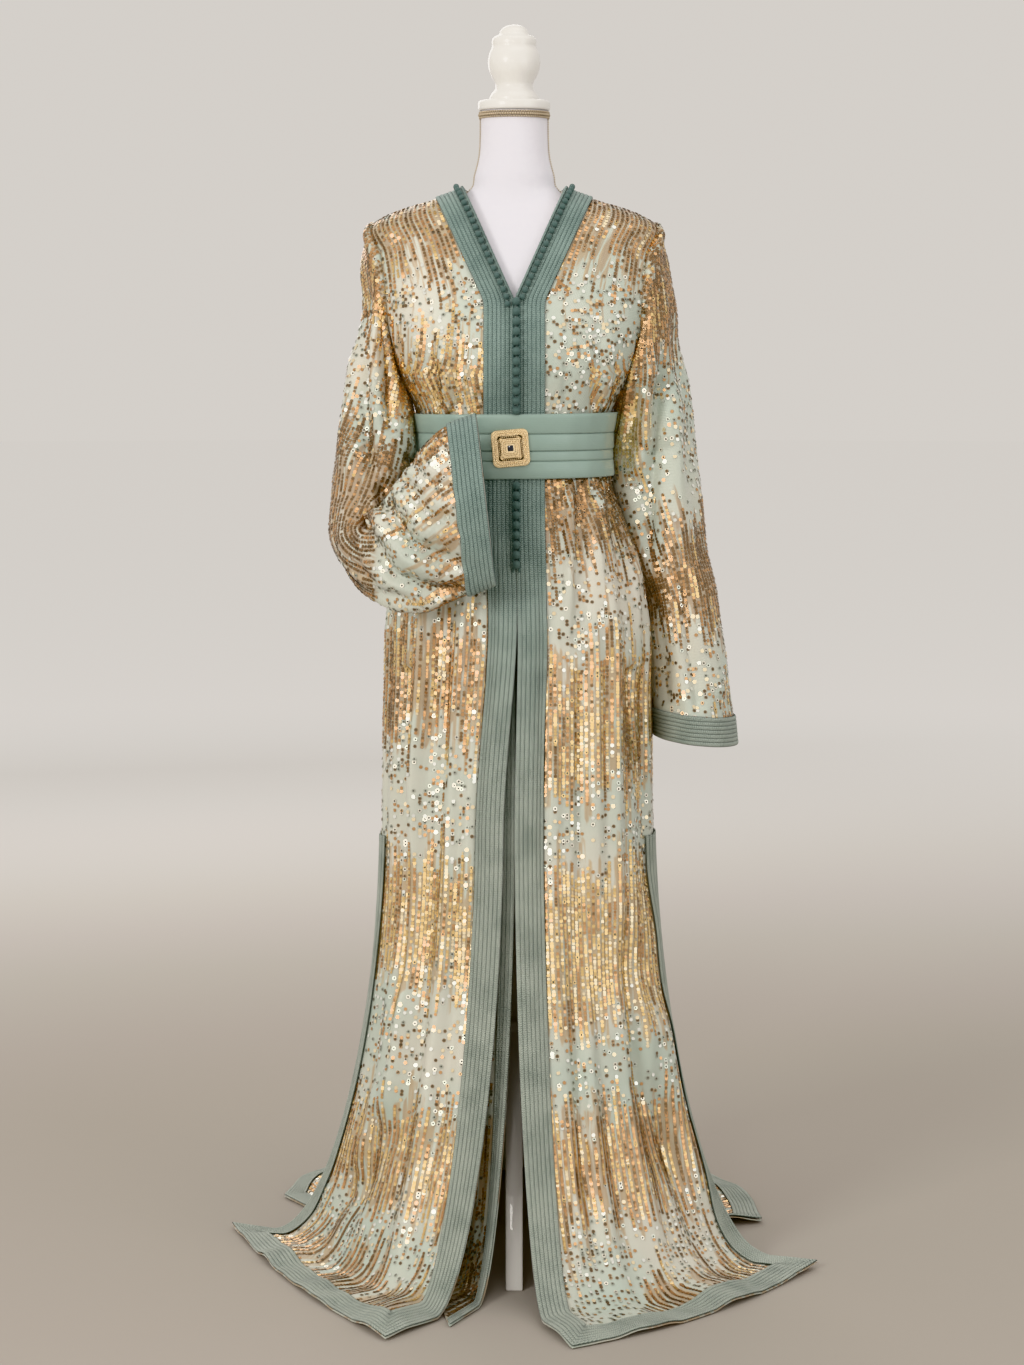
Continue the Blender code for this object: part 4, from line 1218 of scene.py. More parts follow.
@dataclass
class Pattern:
    """Bands with ragged streaks, scattered rings and pearls between them."""

    bands: tuple[Band, ...]
    seed: int
    ragged: float = 0.038
    scatter: float = 0.31

    def __post_init__(self) -> None:
        """Draw the streaks' ends for each thread."""
        rng = np.random.default_rng(self.seed)
        self.ends = rng.normal(0.0, 1.0, (len(self.bands), 2, STREAKS))
        self.tints = rng.normal(0.0, 1.0, (STREAKS, TINT_STEPS))

    def levels(self, u: Array, x: Array, level: Array) -> tuple[Array, Array]:
        """How dense and how warm the sequins are.

        Args:
            u: Places across, from 0 to 1.
            x: Where across the piece, in metres.
            level: Height, or length along, in metres.

        Returns:
            Density from 0 to 1, and warmth from 0, gold, to 1, copper.
        """
        thread = (np.asarray(u) * 419.0).astype(int) % STREAKS
        dense, warm, total = np.zeros(x.shape), np.zeros(x.shape), np.full(x.shape, 1e-6)
        for band, ends in zip(self.bands, self.ends):
            high, low = (
                edge + self.ragged * (0.55 * end[thread] + 0.45 * end[thread // 7])
                for edge, end in zip((band.high, band.low), ends)
            )
            inside = smooth((high - level) / 0.01) * smooth((level - low) / 0.01)
            inside = inside * smooth((x - band.left) / 0.03) * smooth((band.right - x) / 0.03)
            dense = np.maximum(dense, inside)
            warm += inside * band.warm
            total += inside
        place = (np.asarray(level) * 23.0 + 300.0).astype(int) % TINT_STEPS
        return dense, np.clip(warm / total + 0.2 * self.tints[thread, place], 0.0, 1.0)


@dataclass
class Sequins:
    """Sequins sewn in threads down a sheet."""

    pattern: Pattern
    pitch: float = 0.0056
    step: float = 0.0044
    radius: float = 0.00265
    lift: float = 0.0021
    tilt: float = 0.095

    def spots(self, cloth: Cloth, level: Place, keep: Place) -> dict[str, Array]:
        """Lay the threads down the sheet and choose what is sewn on them.

        Args:
            cloth: The sheet.
            level: The pattern's level from points, rows and columns.
            keep: Where sequins may lie, from points, rows and columns.

        Returns:
            Points, normals, directions and choices of every sequin.
        """
        rng = np.random.default_rng(self.pattern.seed + 7)
        rows, columns = cloth.points.shape[:2]
        last = columns if cloth.closed else columns - 1
        widths = cloth.across[:, -1]
        base = max(int(widths.min() / self.pitch), 8)
        places: list[tuple[float, float]] = [((k + 0.5) / base, 0.0) for k in range(base)]
        spread = float(base)
        while spread < widths.max() / self.pitch:
            places += [(k / spread, spread) for k in range(1, int(spread))]
            spread *= 2
        found: dict[str, list[Array]] = {key: [] for key in ("p", "n", "d", "u", "row")}
        every = np.arange(rows, dtype=float)
        for u, need in places:
            line, normal = cloth.at(every, np.full(rows, u * last))
            along = run(line)
            count = int(along[-1] / self.step)
            spots = (np.arange(count) + rng.uniform(0, 1)) * self.step
            spots = np.clip(spots + rng.normal(0, 0.00035, count), 0, along[-1])
            row = np.interp(spots, along, every)
            wide = np.interp(row, every, widths)
            used = wide / max(need, 1e-9) > 1.38 * self.pitch if need else np.ones(count, bool)
            row, spots = row[used], spots[used]
            for key, values in zip("pnd", (line, normal, np.gradient(line, axis=0))):
                found[key].append(pick(spots, along, values))
            found["u"].append(np.full(len(row), u))
            found["row"].append(row)
        data = {key: np.concatenate(value) for key, value in found.items()}
        column, x = data["u"] * last, data["p"][:, 0]
        dense, warm = self.pattern.levels(data["u"], x, level(data["p"], data["row"], column))
        patch = np.sin(x * 47 + 3) * np.sin(data["p"][:, 2] * 31 + self.pattern.seed)
        chance = np.where(dense > 0.5, 0.95, self.pattern.scatter * (1.0 + 0.55 * patch))
        draw = rng.uniform(0, 1, len(column))
        chosen = (draw < chance) & keep(data["p"], data["row"], column)
        data.update(dense=dense, warm=warm, pick=rng.uniform(0, 1, len(column)))
        return {key: value[chosen] for key, value in data.items()}

    def frames(self, data: dict[str, Array], size: Array) -> Array:
        """A frame for each sequin, tipped a little its own way."""
        rng = np.random.default_rng(self.pattern.seed)
        count = len(data["p"])
        normal = data["n"] + rng.normal(0, self.tilt, (count, 3))
        down = unit(data["d"])
        normal = unit(normal - down * 0.16)
        side = unit(np.cross(down, normal))
        ahead = np.cross(normal, side)
        turn = rng.uniform(0, 1.0, count)[:, None]
        first = side * np.cos(turn) + ahead * np.sin(turn)
        second = np.cross(normal, first)
        return np.stack([first, second, normal], axis=-1) * size[:, None, None]

    def sew(
        self, name: str, cloth: Cloth, materials: Sequence[Material], level: Place,
        keep: Place,
    ) -> list[Object]:
        """Make the flat sequins and the pierced ones.

        Args:
            name: Name of the sheet.
            cloth: The sheet.
            materials: One for each tint.
            level: The pattern's level.
            keep: Where sequins may lie.

        Returns:
            The two objects.
        """
        data = self.spots(cloth, level, keep)
        loose = data["dense"] <= 0.5
        pierced = (loose & (data["pick"] < 0.5)) | (~loose & (data["pick"] > 0.94))
        made = []
        for kind, mask in (("sequins", ~pierced), ("pierced", pierced)):
            part = {key: value[mask] for key, value in data.items()}
            choice, warm, dense = part["pick"] * 10 % 1.0, part["warm"], part["dense"] > 0.5
            size = self.radius * (0.9 + 0.2 * choice)
            bm, flat = bmesh.new(), kind == "sequins"
            bmesh.ops.create_circle(bm, cap_ends=True, segments=7 if flat else 6, radius=1.0)
            if flat:
                size = np.where(dense, size * 0.92, size * 1.02)
            else:
                bmesh.ops.inset_individual(bm, faces=bm.faces[:], thickness=0.52)
                size = size * 1.08
            tint = np.select(
                [
                    dense & (warm > 0.66 + 0.4 * (choice - 0.5)),
                    dense & (warm > 0.38 + 0.3 * (choice - 0.5)),
                    dense & (choice < 0.4), dense, choice < 0.36, choice < 0.7,
                ],
                [METALS.index(metal) for metal in DENSE_METALS + LOOSE_METALS[kind][:2]],
                METALS.index(LOOSE_METALS[kind][2]),
            )
            mesh = copies(f"{kind}_{name}", bm, len(size))
            set_copies(mesh, self.frames(part, size), part["p"] + part["n"] * self.lift)
            faces = len(mesh.polygons) // len(size)
            slots = np.repeat(tint, faces).reshape(len(size), faces)
            if not flat:
                centre = min(range(faces), key=lambda k: -len(mesh.polygons[k].vertices))
                # The middle face of each ring gets the dark hole colour: painted shade.
                slots[:, centre] = METALS.index(Metal.HOLE_SHADE)
            made.append(add_object(f"{kind}_{name}", mesh, materials))
            mesh.polygons.foreach_set("material_index", slots.reshape(-1).astype(np.int32))
            facet(mesh)
            LOG.info("%s_%s: %d pieces", kind, name, len(size))
        return made

    def dye(self, cloth: Cloth, level: Place) -> dict[str, Array]:
        """How dense and warm the bands are at each point of a sheet."""
        shape = cloth.points.shape[:2]
        row, column = (places.reshape(-1) for places in np.indices(shape))
        flat = cloth.points.reshape(-1, 3)
        u = column / (shape[1] if cloth.closed else shape[1] - 1)
        found = self.pattern.levels(u, flat[:, 0], level(flat, row, column))
        return {key: values.reshape(shape) for key, values in zip(("dense", "warm"), found)}


# ---- the garment
@dataclass
class Finishes:
    """Every material of the kaftan and the form, made once."""

    cloth: Material = field(default_factory=lambda: SheerCloth().make())
    braid: Material = field(default_factory=lambda: SageBraid().make())
    satin: Material = field(default_factory=lambda: SageSatin().make())
    gilt: Material = field(default_factory=lambda: Gilt().make())
    stone: Material = field(default_factory=STONE.make)
    jersey: Material = field(default_factory=JERSEY.make)
    paint: Material = field(default_factory=PAINT.make)
    beads: Material = field(default_factory=BEADS.make)
    foils: list[Material] = field(default_factory=sequin_materials)


def sequinned(
    name: str, cloth: Cloth, pattern: Pattern, level: Place, keep: Place, finishes: Finishes
) -> tuple[Object, list[Object]]:
    """Make a sequinned sheet in place of its CAD node.

    Args:
        name: Name of the node.
        cloth: The sheet.
        pattern: Its pattern.
        level: The pattern's level.
        keep: Where sequins may lie.
        finishes: The kaftan's materials.

    Returns:
        The sheet, and its two pieces of sequins.
    """
    sequins = Sequins(pattern)
    mesh = grid_mesh(f"cloth_{name}", cloth, sequins.dye(cloth, level))
    made = add_object(f"cloth_{name}", mesh, [finishes.cloth])
    thicken(made, CLOTH_WALL)
    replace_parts(made, name)
    return made, sequins.sew(name, cloth, finishes.foils, level, keep)


def hang(
    made: Object, cloth: Cloth
) -> None:
    """Log the area of a hung sheet."""
    LOG.info("%s: area %.3f", made.name, measure(cloth))


@dataclass
class Braid:
    """Ribbed braid: cords side by side, laid along lines of a sheet."""

    finishes: Finishes
    ribs: int = 7
    width: float = TRIM_WIDTH
    per_rib: int = 4

    def offsets(self) -> tuple[Array, Array]:
        """Distances across the braid, and its height at each."""
        place, high = [], []
        for rib in range(self.ribs):
            for k in range(self.per_rib if rib < self.ribs - 1 else self.per_rib + 1):
                t = k / self.per_rib
                place.append((rib + t) / self.ribs)
                high.append(0.001 + 0.0011 * abs(math.sin(math.pi * t)) ** 0.45)
        high[0] = high[-1] = 0.001
        return np.array(place) * self.width, np.array(high)

    def lay(
        self, name: str, cloth: Cloth, rows: Array, columns: Array, sign: float,
        replaces: Sequence[str], closed: bool = False, lift: float = 0.0,
    ) -> Object:
        """Lay braid on a sheet.

        Args:
            name: Name of the piece.
            cloth: The sheet.
            rows: Row numbers of the sheet, stations by distances across.
            columns: Column numbers.
            sign: The side its faces point to.
            replaces: CAD nodes that it stands for.
            closed: Whether it runs round and meets itself.
            lift: More height over the sheet.

        Returns:
            The object.
        """
        across, high = self.offsets()
        grid, _ = cloth.at(rows, columns, CLOTH_WALL + 0.0006 + lift + high[None, :])
        along = run(grid[:, len(across) // 2])
        uv = np.stack(np.broadcast_arrays(across[None, :], along[:, None]), axis=-1)
        if closed:
            grid = np.concatenate([grid, grid[:1]])
            uv = np.concatenate([uv, uv[:1] + [0.0, float(np.linalg.norm(grid[-1] - grid[-2]))]])
        mesh = grid_mesh(name, Cloth(grid, sign), uv=uv)
        made = add_object(name, mesh, [self.finishes.braid])
        thicken(made, 0.0012, outward=False)
        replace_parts(made, *replaces)
        return made


@dataclass
class Panel:
    """A cut piece of the kaftan that hangs from the shoulder or the waist to the floor."""

    name: str
    sign: float
    upper: Callable[[Array, float], Array]
    hem: Array
    counts: tuple[int, int, int, int]
    creases: tuple[Crease, ...]
    finishes: Finishes
    ripple: float = 0.0016
    cloth: Cloth = field(init=False)

    def drape(self) -> Cloth:
        """Lay out the points and press the folds in."""
        flat = Cloth(panel_rows(self.upper, self.hem, self.counts), self.sign)
        z = flat.points[..., 2]
        u = np.linspace(0.0, 1.0, flat.points.shape[1])[None, :]
        edge = np.minimum(flat.across, flat.across[:, -1:] - flat.across)
        hold = smooth(edge / 0.055) * (0.35 + 0.65 * smooth((z - 0.02) / 0.08))
        belt = smooth((z - BELT_Z[0] + 0.03) / 0.03) * smooth((BELT_Z[1] + 0.025 - z) / 0.03)
        hold = hold * (1.0 - 0.8 * belt)
        wave = sum(
            strength * np.sin(count * math.pi * u + shift + 1.1 * np.sin(2.3 * z + shift))
            for count, shift, strength in ((7.0, 0.6, 1.0), (11.0, 2.2, 0.8), (17.0, 4.1, 0.5))
        )
        wave = 2.6 * wave * self.ripple * smooth((1.06 - z) / 0.2)
        height = sum((crease.height(flat) for crease in self.creases), np.zeros(z.shape)) + wave
        height = np.maximum(height * hold, np.where(z > FORM_FREE_Z, *DEEPEST))
        lifted = Cloth(flat.points + flat.normals * height[..., None], self.sign)
        self.cloth = Cloth(self.floor_wave(lifted), self.sign)
        return self.cloth

    def floor_wave(self, cloth: Cloth) -> Array:
        """Points with the hem's low undulations on the floor, and none under it."""
        grid = cloth.points.copy()
        x, y, z = grid[..., 0], grid[..., 1], grid[..., 2]
        total = cloth.down[-1:] - cloth.down
        turn = np.arctan2(x, -y)
        wave = 0.5 + 0.5 * np.sin(9.0 * turn + 1.3 * np.sin(3.0 * turn) + self.sign)
        rise = 0.01 * wave**2 * smooth((0.055 - z) / 0.05) * smooth(total / 0.05)
        rise += 0.006 * (0.5 + 0.5 * np.sin(14.0 * turn + 2.0)) ** 3 * smooth((0.03 - z) / 0.03)
        grid[..., 2] = np.maximum(z + rise, FLOOR_LIFT)
        return grid

    def level(self, points: Array, _row: Array, _column: Array) -> Array:
        """The pattern's level: the height, run on along the floor."""
        reach = np.hypot(points[:, 0], points[:, 1])
        return points[:, 2] - 0.35 * np.maximum(reach - 0.28, 0.0)

    def outline(self, braid: Braid, slit_row: float, both: bool) -> tuple[Array, Array]:
        """Rows and columns of the braid round the outline, mitred at its corners.

        Args:
            braid: The braid.
            slit_row: Row where the slit begins.
            both: Whether both sides are slits, as on the back.

        Returns:
            Rows, columns of the stations.
        """
        cloth, (across, _) = self.cloth, braid.offsets()
        rows, columns = cloth.points.shape[:2]
        found: list[tuple[Array, Array]] = []

        def side(first: float, last: float, far: bool) -> None:
            """Lay stations down the first side, or up the far one."""
            for row in np.linspace(first, last, int(abs(last - first) * 1.1)):
                station = np.full(len(across), row)
                found.append((station, cloth.column_in(station, across, far)))

        def corner(column: float, far: bool) -> None:
            """Lay the mitre of one corner."""
            station = cloth.row_in(np.full(len(across), column), across)
            found.append((station, cloth.column_in(station, across, far)))

        first, last = (
            float(cloth.row_in(np.array([column]), braid.width)[0])
            for column in (2.0, columns - 3.0)
        )
        low, high = (
            float(cloth.column_in(np.array([rows - 2.0]), braid.width, far)[0])
            for far in (False, True)
        )
        side(slit_row if both else 0.0, first, False)
        corner(3.0, False)
        for column in np.linspace(low, high, int((high - low) * 1.4)):
            station = np.full(len(across), column)
            found.append((cloth.row_in(station, across), station))
        corner(columns - 4.0, True)
        side(last, slit_row, True)
        return np.array([row for row, _ in found]), np.array([column for _, column in found])


FRONT_COUNTS = (46, 84, 96, 69)
BACK_COUNTS = (40, 80, 90, 121)
UNDERLAP_COUNTS = (0, 48, 80, 19)

LEFT_CREASES = creases([
    (104, -143, 5, 10, 89, 1094, 92, 989, 89, 825, 88, 521, 96, 126),
    (128, 113, 5, 40, 110, 1094, 116, 950, 113, 700, 116, 360),
    (64, -84, 5, 50, 62, 1096, 57, 989, 51, 880, 53, 700),
    (56, 86, 5, 50, 75, 1096, 76, 990, 70, 860),
    (56, -72, 5, 50, 103, 1096, 120, 989, 131, 880),
    (80, -91, 5, 40, 127, 1090, 147, 989, 160, 860, 165, 620),
    (72, 94, 5, 50, 141, 1085, 166, 989, 174, 880),
    (136, -104, 25, 25, 171, 900, 186, 660, 194, 451),
    (128, -104, 25, 25, 95, 200, 119, 61, 150, 12),
    (192, -130, 25, 25, 144, 525, 173, 273, 243, 80),
    (176, 151, 25, 25, 170, 420, 225, 200, 300, 40),
    (72, -52, 40, 5, 115, 1337, 113, 1257, 102, 1190),
    (56, -39, 40, 5, 72, 1297, 69, 1231, 66, 1190),
    (64, 57, 40, 5, 130, 1300, 126, 1240, 118, 1190),
    (96, -65, 25, 25, 150, 1440, 176, 1364, 165, 1284),
])
RIGHT_CREASES = creases([
    (104, -130, 10, 15, -120, 1060, -140, 921, -150, 715, -157, 521, -169, 240),
    (120, 113, 10, 40, -100, 1060, -118, 921, -128, 715, -130, 500),
    (80, -84, 10, 40, -80, 1060, -90, 921, -94, 715, -102, 521),
    (64, 75, 10, 50, -62, 1060, -66, 900, -74, 700),
    (176, -117, 25, 25, -168, 245, -199, 132, -255, 46),
    (120, -78, 25, 25, -60, 525, -86, 316, -115, 132),
    (144, 132, 25, 25, -140, 440, -165, 270, -235, 100),
    (64, -52, 40, 5, -79, 1337, -73, 1257, -70, 1190),
    (80, -65, 40, 5, -120, 1337, -113, 1257, -100, 1190),
    (64, 57, 40, 5, -97, 1300, -93, 1240, -86, 1190),
    (96, -65, 25, 25, -150, 1440, -176, 1350, -160, 1271),
])
BACK_CREASES = creases([
    (119, -125, 3, 20, -4, 1095, -6, 800, -10, 400, -20, 100),
    (127, 100, 3, 40, 22, 1095, 30, 800, 36, 400),
    (119, -150, 3, 20, 48, 1095, 60, 850, 72, 500, 100, 120),
    (110, 100, 3, 40, -34, 1095, -45, 820, -55, 460),
    (136, -150, 3, 20, -60, 1095, -78, 840, -92, 480, -130, 120),
    (93, -100, 3, 50, 85, 1095, 110, 900, 125, 600),
    (102, -100, 3, 50, -92, 1095, -118, 900, -138, 600),
    (170, 112, 30, 30, 115, 950, 150, 600, 200, 200),
    (170, 112, 30, 30, -120, 900, -150, 550, -190, 200),
    (85, -50, 50, 5, 60, 1330, 54, 1250, 46, 1190),
    (93, -50, 50, 5, -60, 1320, -52, 1250, -46, 1190),
    (76, -37, 50, 5, 5, 1280, 4, 1190),
    (110, -63, 50, 5, 105, 1370, 115, 1270, 105, 1190),
    (110, -63, 50, 5, -105, 1370, -112, 1270, -100, 1190),
], facing=1)
BODICE_BANDS = (
    Band(1.52, 1.368, 0.6),
    Band(1.274, 1.176, 0.3, right=-0.002),
    Band(1.23, 1.18, 0.55, left=0.085),
)
SKIRT_LEFT_BANDS = (
    Band(1.11, 1.0, 0.8), Band(0.86, 0.672, 0.38), Band(0.56, 0.352, 0.22),
    Band(0.245, 0.1, 0.5), Band(0.01, -0.08, 0.6, left=0.16),
)
SKIRT_RIGHT_BANDS = (
    Band(1.11, 1.01, 0.8), Band(0.905, 0.742, 0.52), Band(0.575, 0.398, 0.3),
    Band(0.235, 0.095, 0.38), Band(0.03, -0.04, 0.6),
)
BACK_BANDS = (
    Band(1.52, 1.35, 0.45), Band(1.276, 1.176, 0.3), Band(1.11, 1.005, 0.75),
    Band(0.88, 0.7, 0.42), Band(0.565, 0.38, 0.28), Band(0.24, 0.095, 0.42),
    Band(0.02, -0.05, 0.6),
)


@dataclass
class Kaftan:
    """The sewn garment's fronts, back and underlap, with their braid."""

    finishes: Finishes
    braid: Braid
    panels: dict[str, Panel] = field(default_factory=dict)

    def sew_panel(
        self, panel: Panel, bands: tuple[Band, ...], seed: int, both: bool,
        trims: Sequence[str],
    ) -> None:
        """Make a panel with its sequins and its braid.

        Args:
            panel: The panel.
            bands: Its sequin bands.
            seed: Seed of its pattern.
            both: Whether both sides are slits.
            trims: CAD nodes of its braid.
        """
        cloth = panel.drape()
        slit_row = float(panel.counts[0] + panel.counts[1])
        rim = TRIM_WIDTH - 0.002

        def keep(points: Array, row: Array, column: Array) -> Array:
            """Inside the braid, and not under the belt."""
            first, last, up, top = cloth.margins(row, column)
            slit_rim = np.where(row >= slit_row, rim, 0.001)
            inside = (first > (slit_rim if both else rim)) & (last > slit_rim)
            inside &= (up > rim) & (top > 0.001)
            belted = (points[:, 2] > BELT_Z[0] + 0.002) & (points[:, 2] < BELT_Z[1] - 0.002)
            if both:
                inside &= ~((top < rim) & (np.abs(points[:, 0]) < NECK_HALF_WIDTH + rim))
            return inside & ~belted

        pattern = Pattern(bands, seed)
        made, sewn = sequinned(panel.name, cloth, pattern, panel.level, keep, self.finishes)
        edge = self.braid.lay(
            f"braid_{panel.name}", cloth, *panel.outline(self.braid, slit_row, both), -panel.sign,
            trims,
        )
        hang(made, cloth)
        self.panels[panel.name] = panel

    def fronts(self) -> None:
        """The two fronts."""
        for side, name, hem, creases, skirt in (
            (1, "left", LEFT_FRONT_HEM, LEFT_CREASES, SKIRT_LEFT_BANDS),
            (-1, "right", RIGHT_FRONT_HEM, RIGHT_CREASES, SKIRT_RIGHT_BANDS),
        ):
            panel = Panel(
                f"front_{name}", -side, lambda u, v, side=side: front_upper(side, u, v), hem,
                FRONT_COUNTS, creases, self.finishes,
            )
            self.sew_panel(
                panel, BODICE_BANDS + skirt, 11 + side, False,
                (f"trim_front_{name}", f"trim_hem_{name}", f"trim_slit_front_{name}"),
            )

    def back(self) -> None:
        """The back, with the braid round its neck."""
        panel = Panel("back", -1, back_upper, BACK_HEM, BACK_COUNTS, BACK_CREASES, self.finishes, 0.0026)
        self.sew_panel(
            panel, BACK_BANDS, 31, True,
            ("trim_hem_back", "trim_slit_back_left", "trim_slit_back_right"),
        )
        cloth, (across, _) = panel.cloth, self.braid.offsets()
        top, run_across = cloth.points[0], cloth.across[0]
        half = len(top) // 2
        corner = int(np.argmax(top[:half, 2] + 1e-6 * np.arange(half)))
        corners = (float(corner), float(len(top) - 1 - corner))
        numbers = np.arange(len(top))

        def mitre(column: float, sign: float) -> list[tuple[Array, Array]]:
            """Stations turned from along the shoulder to down from the neck."""
            point, found = float(np.interp(column, numbers, run_across)), []
            for turn in np.linspace(0.0, math.pi / 2, 9):
                out = np.interp(point + sign * across * math.cos(turn), run_across, numbers)
                found.append((cloth.row_in(out, across * math.sin(turn), False), out))
            return found

        middle = [np.full(len(across), column) for column in np.linspace(*corners, 34)[1:-1]]
        stations = mitre(corners[0], -1.0)
        stations += [(cloth.row_in(column, across, False), column) for column in middle]
        stations += mitre(corners[1], 1.0)[::-1]
        rows, columns = (np.array(part) for part in zip(*stations))
        self.braid.lay("braid_neck_back", cloth, rows, columns, 1, ("trim_neck_back",), lift=0.0006)

    def underlap(self) -> None:
        """The inner panel behind the right front."""
        panel = Panel(
            "front_underlap", 1, underlap_upper, UNDERLAP_HEM, UNDERLAP_COUNTS, (), self.finishes,
            0.0004,
        )
        cloth = panel.drape()

        def keep(_points: Array, row: Array, column: Array) -> Array:
            """Inside the narrow braid and the edges."""
            first, last, up, _ = cloth.margins(row, column)
            return (first > 0.024) & (up > 0.005) & (last > 0.004)

        pattern = Pattern(SKIRT_RIGHT_BANDS, 51)
        made, sewn = sequinned(panel.name, cloth, pattern, panel.level, keep, self.finishes)
        braid = Braid(self.finishes, ribs=3, width=0.022)
        across, _ = braid.offsets()
        rows = np.repeat(np.arange(len(cloth.points))[:, None] * 1.0, len(across), axis=1)
        columns = np.array([cloth.column_in(row, across) for row in rows])
        edge = braid.lay("braid_underlap", cloth, rows, columns, -1, ("trim_underlap",))
        hang(made, cloth)


def measure(cloth: Cloth) -> float:
    """Area of a sheet in square metres."""
    grid = closed_up(cloth.points) if cloth.closed else cloth.points
    a, b = grid[1:, 1:] - grid[:-1, :-1], grid[1:, :-1] - grid[:-1, 1:]
    return float(np.linalg.norm(np.cross(a, b), axis=-1).sum() / 2)


SLEEVE_TURNS = 108
LEFT_SLEEVE_CREASES = creases([
    (97, -143, 25, 25, 208, 1300, 197, 1162, 186, 1067, 184, 960),
    (90, 91, 25, 25, 188, 1290, 178, 1170, 166, 1080),
    (112, -91, 25, 25, 219, 1338, 238, 1203, 250, 1067),
    (135, 104, 25, 25, 226, 1240, 222, 1100, 224, 960),
    (97, -104, 30, 10, 180, 985, 200, 875, 210, 771),
    (105, -117, 30, 10, 226, 980, 240, 875, 256, 765),
    (90, 78, 30, 10, 262, 1000, 278, 880, 288, 780),
    (60, -65, 25, 25, 176, 1230, 196, 1215, 226, 1222),
    (67, -65, 25, 25, 160, 1150, 186, 1128, 222, 1140),
]) + creases([
    (112, -130, 25, 25, 200, 1330, 190, 1160, 180, 1000),
    (120, 104, 25, 25, 230, 1300, 240, 1150, 252, 980),
    (120, -130, 30, 10, 215, 1060, 230, 900, 240, 780),
    (97, -104, 30, 10, 255, 1050, 272, 900, 282, 780),
], facing=1)
RIGHT_SLEEVE_CREASES = creases([
    (130, -190, 25, 25, -203, 1392, -208, 1284, -206, 1161, -195, 1080),
    (88, 75, 25, 25, -190, 1350, -190, 1240, -184, 1140),
    (80, -112, 25, 25, -180, 1338, -172, 1230, -164, 1140),
    (96, 63, 25, 25, -226, 1300, -232, 1180, -228, 1080),
    (120, -180, 10, 25, -186, 1100, -172, 1066, -139, 1019, -86, 993, -40, 990),
    (88, 88, 15, 30, -196, 1076, -176, 1036, -140, 996, -90, 972),
    (110, -150, 10, 25, -206, 1060, -190, 1010, -158, 972, -99, 950, -45, 962),
    (100, -140, 10, 30, -152, 1110, -120, 1058, -60, 1033),
    (72, -75, 10, 30, -150, 1136, -110, 1098, -62, 1082),
    (80, 75, 10, 30, -140, 1080, -105, 1035, -55, 1012),
    (88, -88, 25, 25, -226, 1040, -212, 985, -180, 948, -120, 934),
    (96, 63, 25, 25, -215, 1080, -224, 1020, -212, 980),
]) + creases([
    (120, -112, 25, 25, -205, 1380, -215, 1240, -222, 1100),
    (96, 88, 25, 25, -180, 1340, -178, 1220, -188, 1110),
    (96, -100, 25, 25, -236, 1060, -226, 990, -190, 950),
], facing=1)


